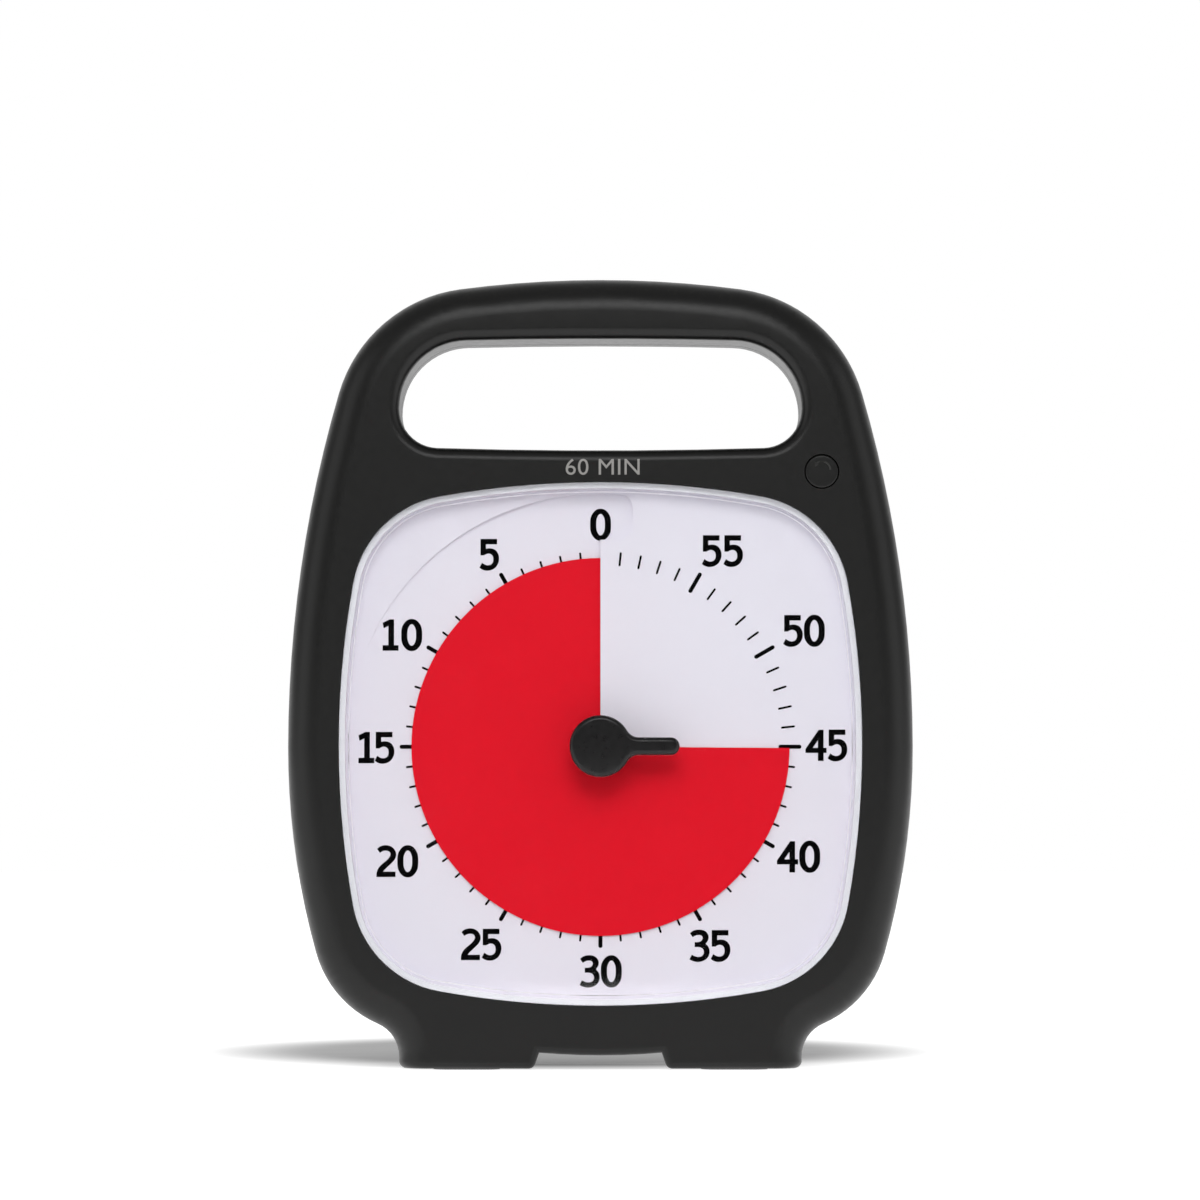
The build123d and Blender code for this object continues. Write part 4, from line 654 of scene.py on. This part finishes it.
# ------------------------------------------------------------------ housing
@dataclass
class Housing:
    """Two-part housing with its handle, pads, screws and the legend over the window."""

    legend_text: str = "60 MIN"
    legend_x: float = 0.5 * MM
    legend_z: float = 135.75 * MM
    legend_height: float = 3.62 * MM
    legend_stretch: float = 1.04
    legend_spacing: float = 1.05
    print_proud: float = 0.03 * MM
    print_sunk: float = 0.03 * MM

    def build(self) -> None:
        """Builds the housing's pieces."""
        for node in ("front_housing", "rear_housing"):
            smooth_copy(node, HOUSING)
        smooth_copy("foot_pads", RUBBER)
        dress("housing_screws", STEEL)
        self.legend()

    def legend(self) -> None:
        """Prints the range in minutes over the window."""
        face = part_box("front_housing")[0].y
        form = lettering(self.legend_text, self.legend_height, self.legend_stretch, self.legend_spacing)
        bmesh.ops.translate(form, verts=form.verts, vec=(self.legend_x, self.legend_z, 0.0))
        raise_print(form, lambda place: face, self.print_proud, self.print_sunk)
        finished("legend_sixty_minutes", form, GREY_INK, "root")


# ------------------------------------------------------------------ window and dial
@dataclass
class Ramp:
    """Where the surface of the ramped dial lies."""

    centre: Vector = field(default_factory=lambda: middle("disc_hub"))
    face_y: float = field(default_factory=lambda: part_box("front_housing")[0].y)
    low_depth: float = 7.5 * MM
    rise: float = 1.5 * MM
    pocket_width: float = 7.3 * MM
    pocket_low: float = 46.8 * MM

    def place(self, degrees: float, radius: float) -> Vector:
        """Point on the dial at an angle counter-clockwise from twelve o'clock, across and up."""
        turn = math.radians(degrees)
        return Vector((-radius * math.sin(turn), self.centre.z + radius * math.cos(turn), 0.0))

    def level(self, place: Vector) -> float:
        """Depth of the surface at a place.

        Args:
            place: A point whose X and Z are on the dial.

        Returns:
            The depth of the dial there.
        """
        low = self.face_y + self.low_depth
        across, up = place.x, place.z - self.centre.z
        if 0 <= across <= self.pocket_width and up >= self.pocket_low:
            return low
        turn = math.atan2(-across, up) % math.tau
        return low - self.rise * turn / math.tau


@dataclass
class Window:
    """Clear lens with its seal, over the white dial tray."""

    lens_gap: float = 0.03 * MM
    edge_slope: tuple[float, float] = (0.2, 0.97)

    def build(self) -> None:
        """Builds the pieces of the window."""
        self.soften_edge(smooth_copy("lens", CLEAR, pull=self.lens_gap))
        dress("lens_seal", FOAM)
        smooth_copy("dial_tray", DIAL_WHITE, RAMP_EDGE)
        dress("dial_screws", STEEL)

    def soften_edge(self, lens: bpy.types.Object) -> None:
        """Gives the bevel around the lens's raised pane a duller finish than the pane."""
        lens.data.materials.append(CLEAR_EDGE.material())
        least, most = self.edge_slope
        for face in lens.data.polygons:
            if least < -face.normal.y < most:
                face.material_index = 1


@dataclass(frozen=True)
class Digits:
    """Heavy upright digits of the dial, as flat forms that stand on Y = 0.

    Each digit is one or more outlines in millimetres. A point with a third number is smooth.
    """

    flat_height: float = 6.9
    growth: float = 0.05
    size: float = 1.012
    gap: float = 0.3
    gaps: dict[str, float] = field(default_factory=lambda: {"15": 0.14, "55": 0.48, "10": 0.66})
    outlines: dict[str, tuple[tuple[tuple[float, ...], ...], ...]] = field(default_factory=lambda: {
        "0": (
            ((2.29, 7.0, 1), (3.94, 6.08, 1), (4.57, 3.45, 1), (3.94, 0.82, 1),
             (2.29, -0.1, 1), (0.64, 0.82, 1), (0.0, 3.45, 1), (0.64, 6.08, 1)),
            ((2.29, 5.9, 1), (3.0, 5.25, 1), (3.3, 3.45, 1), (3.0, 1.65, 1),
             (2.29, 1.0, 1), (1.58, 1.65, 1), (1.27, 3.45, 1), (1.58, 5.25, 1)),
        ),
        "1": (
            ((0.0, 0.0), (3.45, 0.0), (3.45, 1.12), (2.45, 1.12), (2.45, 6.9), (1.5, 6.9),
             (0.0, 6.15), (0.22, 5.02), (1.27, 5.55), (1.27, 1.12), (0.0, 1.12)),
        ),
        "2": (
            ((0.13, 6.22), (0.8, 6.72, 1), (2.0, 6.98, 1), (3.22, 6.7, 1), (4.02, 5.9, 1), (4.3, 5.0, 1),
             (4.08, 4.08, 1), (3.45, 3.25, 1), (2.5, 2.35, 1), (1.8, 1.65, 1), (1.36, 1.1),
             (4.15, 1.1), (4.15, 0.0), (0.0, 0.0), (0.03, 0.9, 1), (0.4, 1.85, 1), (1.0, 2.58, 1),
             (1.88, 3.32, 1), (2.62, 4.02, 1), (3.12, 5.0, 1), (2.84, 5.62, 1), (2.02, 5.88, 1),
             (1.3, 5.75, 1), (0.72, 5.4)),
        ),
        "3": (
            ((0.12, 6.25), (0.86, 6.76, 1), (2.05, 7.0, 1), (3.28, 6.76, 1), (4.0, 6.1, 1), (4.2, 5.3, 1),
             (3.95, 4.45, 1), (3.5, 3.9), (4.1, 3.28, 1), (4.42, 2.22, 1), (4.08, 0.98, 1), (3.3, 0.28, 1),
             (1.95, -0.1, 1), (0.75, 0.1, 1), (0.0, 0.45), (0.53, 1.4), (1.2, 1.07, 1), (2.05, 0.94, 1),
             (2.9, 1.24, 1), (3.22, 2.05, 1), (2.9, 2.88, 1), (2.1, 3.2, 1), (1.18, 3.2), (1.18, 4.22),
             (2.1, 4.26, 1), (2.72, 4.6, 1), (2.95, 5.18, 1), (2.75, 5.68, 1), (2.05, 5.9, 1),
             (1.3, 5.76, 1), (0.72, 5.42)),
        ),
        "4": (
            ((0.0, 1.78), (2.78, 1.78), (2.78, 0.0), (3.95, 0.0), (3.95, 1.78), (4.62, 1.78),
             (4.62, 2.82), (3.95, 2.82), (3.95, 6.85), (2.92, 6.85), (0.0, 2.6)),
            ((1.5, 2.82), (2.78, 2.82), (2.78, 4.7)),
        ),
        "5": (
            ((0.22, 6.9), (3.85, 6.9), (3.85, 5.8), (1.35, 5.8), (1.35, 4.68), (2.2, 4.8, 1), (3.32, 4.52, 1),
             (4.05, 3.68, 1), (4.28, 2.55, 1), (3.94, 1.2, 1), (3.18, 0.34, 1), (1.88, -0.1, 1),
             (0.72, 0.08, 1), (0.0, 0.52), (0.52, 1.55), (1.2, 1.15, 1), (1.98, 1.02, 1), (2.8, 1.42, 1),
             (3.08, 2.48, 1), (2.8, 3.32, 1), (2.05, 3.7, 1), (1.4, 3.56, 1), (0.98, 3.32), (0.22, 3.32)),
        ),
    })

    def number(self, value: int) -> bmesh.types.BMesh:
        """Sets the digits of a number side by side, centred on the origin."""
        text = str(value)
        form = bmesh.new()
        start = 0.0
        for sign in text:
            digit = filled(self.outlines[sign], self.growth)
            bmesh.ops.translate(digit, verts=digit.verts, vec=(start * MM, -self.flat_height / 2 * MM, 0.0))
            join(form, digit)
            start = max(v.co.x for v in form.verts) / MM + self.gaps.get(text, self.gap)
        wide = max(v.co.x for v in form.verts)
        bmesh.ops.translate(form, verts=form.verts, vec=(-wide / 2, 0.0, 0.0))
        bmesh.ops.scale(form, verts=form.verts, vec=(self.size, self.size, 1.0))
        return form


@dataclass
class DialPrint:
    """Numerals and minute marks printed on the dial."""

    ramp: Ramp = field(default_factory=Ramp)
    digits: Digits = field(default_factory=Digits)
    proud: float = 0.03 * MM
    sunk: float = 0.03 * MM
    long_mark: tuple[float, float, float] = (40.2 * MM, 45.4 * MM, 0.94 * MM)
    short_mark: tuple[float, float, float] = (41.0 * MM, 44.2 * MM, 0.5 * MM)
    places: dict[int, tuple[float, float]] = field(default_factory=lambda: {
        0: (0.05, 50.27), 5: (-25.13, 43.5), 10: (-44.77, 25.28), 15: (-50.61, -0.18), 20: (-45.84, -25.86),
        25: (-26.9, -44.61), 30: (0.07, -50.68), 35: (24.72, -44.91), 40: (44.75, -24.82), 45: (51.06, 0.34),
        50: (46.03, 26.21), 55: (27.61, 44.28),
    })

    def build(self) -> None:
        """Prints every mark and numeral."""
        self.marks("long_marks", range(5, 60, 5), self.long_mark)
        self.marks("short_marks", [m for m in range(1, 60) if m % 5], self.short_mark)
        for minute, (across, up) in self.places.items():
            self.numeral(minute, Vector((across * MM, self.ramp.centre.z + up * MM, 0.0)))

    def marks(self, name: str, minutes: Iterable[int], sizes: tuple[float, float, float]) -> None:
        """Prints one kind of minute mark.

        Args:
            name: Name of the piece.
            minutes: The minutes that have such a mark.
            sizes: Inner radius, outer radius and width.
        """
        inner, outer, width = sizes
        form = bmesh.new()
        for minute in minutes:
            degrees = minute * DEGREES_PER_MINUTE
            verts = rounded_bar(form, outer - inner, width)
            turn = Matrix.Rotation(math.radians(degrees), 3, "Z")
            bmesh.ops.rotate(form, verts=verts, cent=(0, 0, 0), matrix=turn)
            bmesh.ops.translate(form, verts=verts, vec=self.ramp.place(degrees, inner))
        raise_print(form, self.ramp.level, self.proud, self.sunk)
        finished(name, form, INK, "root")

    def numeral(self, minute: int, centre: Vector) -> None:
        """Prints one numeral."""
        form = self.digits.number(minute)
        bmesh.ops.translate(form, verts=form.verts, vec=centre)
        raise_print(form, self.ramp.level, self.proud, self.sunk)
        finished(f"numeral_{minute:02d}", form, INK, "root")


# ------------------------------------------------------------------ moving pieces
@dataclass
class DiscAndKnob:
    """Red sheet with its hub, and the knob that winds it."""

    def build(self) -> None:
        """Builds the disc and the knob."""
        smooth_copy("red_disc", RED_SHEET, RAMP_EDGE)
        dress("disc_hub", SMOOTH_BLACK)
        smooth_copy("knob", KNOB_BLACK)
        dress("spindle", STEEL)


@dataclass
class ResetButton:
    """Round button with a raised return arrow in its upper half."""

    arrow_radius: float = 1.9 * MM
    arrow_rise: float = 0.35 * MM
    stroke: float = 0.36 * MM
    proud: float = 0.22 * MM
    sunk: float = 0.02 * MM
    start: float = 2.0
    sweep: float = 138.0
    steps: int = 24

    def build(self) -> None:
        """Builds the button and its arrow."""
        smooth_copy("reset_button", HOUSING)
        dress("switch_plunger", SMOOTH_BLACK)
        self.arrow()

    def arrow(self) -> None:
        """Raises an open arrow, curved like a return sign, on the cap, in a lighter grey that paints the highlight
        along its ridges.
        """
        low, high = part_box("reset_button")
        centre = Vector(((low.x + high.x) / 2, (low.z + high.z) / 2, 0.0))
        face = low.y
        form = bmesh.new()
        half = self.stroke / 2
        first = Vector((self.arrow_radius - half, 0.0, 0.0))
        second = Vector((self.arrow_radius + half, 0.0, 0.0))
        edge = form.edges.new([form.verts.new(first), form.verts.new(second)])
        turn = Matrix.Rotation(math.radians(self.start), 3, "Z")
        bmesh.ops.rotate(form, verts=form.verts, cent=(0, 0, 0), matrix=turn)
        bmesh.ops.spin(form, geom=[*edge.verts, edge], cent=(0, 0, 0), axis=(0, 0, 1), dvec=(0, 0, 0),
                       angle=math.radians(self.sweep), steps=self.steps, use_merge=False)
        end = math.radians(self.start + self.sweep)
        tip = bmesh.ops.create_circle(form, cap_ends=True, segments=3, radius=self.stroke * 2.0)["verts"]
        bmesh.ops.rotate(form, verts=tip, cent=(0, 0, 0), matrix=Matrix.Rotation(end, 3, "Z"))
        reach = Vector((self.arrow_radius * math.cos(end), self.arrow_radius * math.sin(end), 0.0))
        bmesh.ops.translate(form, verts=tip, vec=reach)
        bmesh.ops.translate(form, verts=form.verts, vec=centre + Vector((0.0, self.arrow_rise, 0.0)))
        raise_print(form, lambda place: face, self.proud, self.sunk)
        finished("return_arrow", form, ARROW_PAINTED_HIGHLIGHT, "button")


@dataclass
class BackFittings:
    """Battery bay with its door, volume wheel and speaker."""

    def build(self) -> None:
        """Builds the pieces in the back."""
        smooth_copy("battery_door", HOUSING)
        smooth_copy("volume_wheel", SMOOTH_BLACK)
        smooth_copy("speaker_grille", HOUSING)
        dress("speaker", CASE_BLACK)
        smooth_copy("battery", SLEEVE)
        dress("battery_spring", STEEL)
        dress("battery_contact", STEEL)


@dataclass
class Works:
    """Pieces inside the closed housing."""

    finishes: dict[str, Finish] = field(default_factory=lambda: {
        "centre_wheel": ACETAL, "idler_gear": ACETAL, "clutch_spring": STEEL, "spindle_bushing": BRASS,
        "bushing_nut": STEEL, "bridge_plate": STEEL, "bridge_screws": STEEL, "movement_case_front": CASE_BLACK,
        "movement_case_back": CASE_BLACK, "rotor": MAGNET, "motor_stator": STEEL, "motor_coil": COPPER,
        "push_switch": EPOXY, "circuit_board": BOARD_GREEN, "board_screws": STEEL, "timer_chip": EPOXY,
        "capacitor": CAN, "volume_control": CASE_BLACK,
    })

    def build(self) -> None:
        """Dresses each inner piece."""
        for node, finish in self.finishes.items():
            dress(node, finish)


# ------------------------------------------------------------------ studio
@dataclass(frozen=True)
class Softbox:
    """A large soft lamp that looks at the timer."""

    name: str
    place: Place
    size: tuple[float, float]
    power: float
    aim: Place = (0.0, 0.0, 0.09)

    def build(self) -> None:
        """Hangs the lamp."""
        light = bpy.data.lights.new(self.name, "AREA")
        light.shape = "RECTANGLE"
        light.size, light.size_y = self.size
        light.energy = self.power
        lamp = bpy.data.objects.new(self.name, light)
        lamp.location = self.place
        lamp.rotation_euler = (Vector(self.aim) - Vector(self.place)).to_track_quat("-Z", "Y").to_euler()
        bpy.context.scene.collection.objects.link(lamp)


@dataclass
class Studio:
    """Camera, lamps, floor and white surroundings."""

    eye: Place = (-0.0001, -1.4595, 0.050)
    aim: Place = (-0.0001, -0.0195, 0.1057)
    view_width: float = 0.27024
    sensor: float = 36.0
    floor_half: float = 6.0
    floor_front: float = 0.9
    # Painted shadow: the floor's glow drops to its low level in an oval behind the timer, with the fade, stretch
    # and centre set below.
    floor_glow: tuple[float, float] = (0.04, 0.95)
    glow_from: tuple[float, float] = (0.06, 0.108)
    glow_shape: Place = (1.0, 0.7, 1.0)
    shadow_centre: Place = (-0.008, 0.12, 0.0)
    floor_tone: tuple[float, float] = (0.9, 0.94)
    front_dark: tuple[float, float, float, float] = (-0.97, -0.75, 0.01, 0.34)
    back_white: tuple[float, float, float, float] = (0.3, 0.8, 0.0, 1.0)
    lamps: tuple[Softbox, ...] = (
        Softbox("key_softbox", (0.0, -1.25, 0.78), (0.8, 0.6), 6.4),
        Softbox("left_softbox", (-1.25, -0.5, 0.5), (0.9, 1.0), 2.2),
        Softbox("right_softbox", (1.25, -0.5, 0.5), (0.9, 1.0), 2.2),
    )

    def build(self) -> None:
        """Sets up the view and the light."""
        bpy.context.scene.view_settings.view_transform = "Standard"
        self.camera()
        self.floor()
        self.surroundings()
        for lamp in self.lamps:
            lamp.build()

    def camera(self) -> None:
        """Places the camera in front of the timer, low and looking slightly up."""
        data = bpy.data.cameras.new("camera")
        data.sensor_width = self.sensor
        way = Vector(self.aim) - Vector(self.eye)
        data.lens = self.sensor * way.length / self.view_width
        data.clip_start = 0.01
        camera = bpy.data.objects.new("camera", data)
        camera.location = self.eye
        camera.rotation_euler = way.to_track_quat("-Z", "Y").to_euler()
        bpy.context.scene.collection.objects.link(camera)
        bpy.context.scene.camera = camera

    def floor(self) -> None:
        """Lays a pale floor that shows white, with the timer's real shadow on it and a painted shadow oval behind
        the timer.
        """
        form = bmesh.new()
        bmesh.ops.create_grid(form, x_segments=1, y_segments=1, size=self.floor_half)
        bmesh.ops.translate(form, verts=form.verts, vec=(0.0, self.floor_half - self.floor_front, 0.0))
        mesh = bpy.data.meshes.new("floor")
        form.to_mesh(mesh)
        form.free()
        made = bpy.data.materials.new("pale_floor")
        made.use_nodes = True
        graph = Graph(made.node_tree)
        speckle = graph.noise(graph.place(), 60.0, 4.0)
        tone = graph.remap(speckle, 0.2, 0.8, *self.floor_tone)
        matt = graph.add("BsdfDiffuse", Color=graph.add("CombineColor", Red=tone, Green=tone, Blue=tone).outputs[0])
        glow = graph.add("Emission", Color=WHITE, Strength=self.glow(graph))
        both = graph.add("AddShader")
        graph.feed(both.inputs[0], matt.outputs["BSDF"])
        graph.feed(both.inputs[1], glow.outputs["Emission"])
        graph.feed(graph.add("OutputMaterial").inputs["Surface"], both.outputs["Shader"])
        mesh.materials.append(made)
        floor = bpy.data.objects.new("floor", mesh)
        bpy.context.scene.collection.objects.link(floor)

    def glow(self, graph: Graph) -> Socket:
        """Gives the floor's glow, which is held back in an oval behind the timer; the dimmed oval is a painted
        shadow laid over the real one.
        """
        path = graph.add("LightPath").outputs
        seen = graph.maths("MAXIMUM", path["Is Camera Ray"], path["Is Glossy Ray"])
        centre = tuple(share * scale for share, scale in zip(self.shadow_centre, self.glow_shape))
        around = graph.add("VectorMath", {"operation": "SUBTRACT"})
        graph.feed(around.inputs[0], graph.place(self.glow_shape))
        graph.feed(around.inputs[1], centre)
        away = graph.add("VectorMath", {"operation": "LENGTH"}, Vector=around.outputs["Vector"]).outputs["Value"]
        # Painted shadow: inside the oval the glow stays low, so the floor there shows dark.
        return graph.maths("MULTIPLY", seen, graph.remap(away, *self.glow_from, *self.floor_glow))

    def surroundings(self) -> None:
        """Makes the room white, and dark straight in front of the dial, where the camera stands."""
        world = bpy.data.worlds.new("white_room")
        world.use_nodes = True
        graph = Graph(world.node_tree)
        direction = graph.add("TexCoord").outputs["Generated"]
        away = graph.add("SeparateXYZ", Vector=direction).outputs["Y"]
        dim = graph.remap(away, *self.front_dark)
        path = graph.add("LightPath").outputs
        behind = graph.remap(away, *self.back_white)
        bounced = graph.maths("MAXIMUM", path["Is Glossy Ray"], path["Is Transmission Ray"])
        backdrop = graph.maths("MAXIMUM", path["Is Camera Ray"], graph.maths("MULTIPLY", bounced, behind))
        strength = graph.maths("MAXIMUM", dim, backdrop)
        room = graph.add("Background", Color=WHITE, Strength=strength)
        graph.feed(graph.add("OutputWorld").inputs["Surface"], room.outputs["Background"])
        bpy.context.scene.world = world


def main() -> None:
    """Builds the timer and its studio."""
    logging.basicConfig(level=logging.INFO, format="%(name)s: %(message)s")
    Studio().build()
    for assembly in (Housing(), Window(), DialPrint(), DiscAndKnob(), ResetButton(), BackFittings(), Works()):
        LOG.info("building %s", type(assembly).__name__)
        assembly.build()


if __name__ == "__main__":
    main()
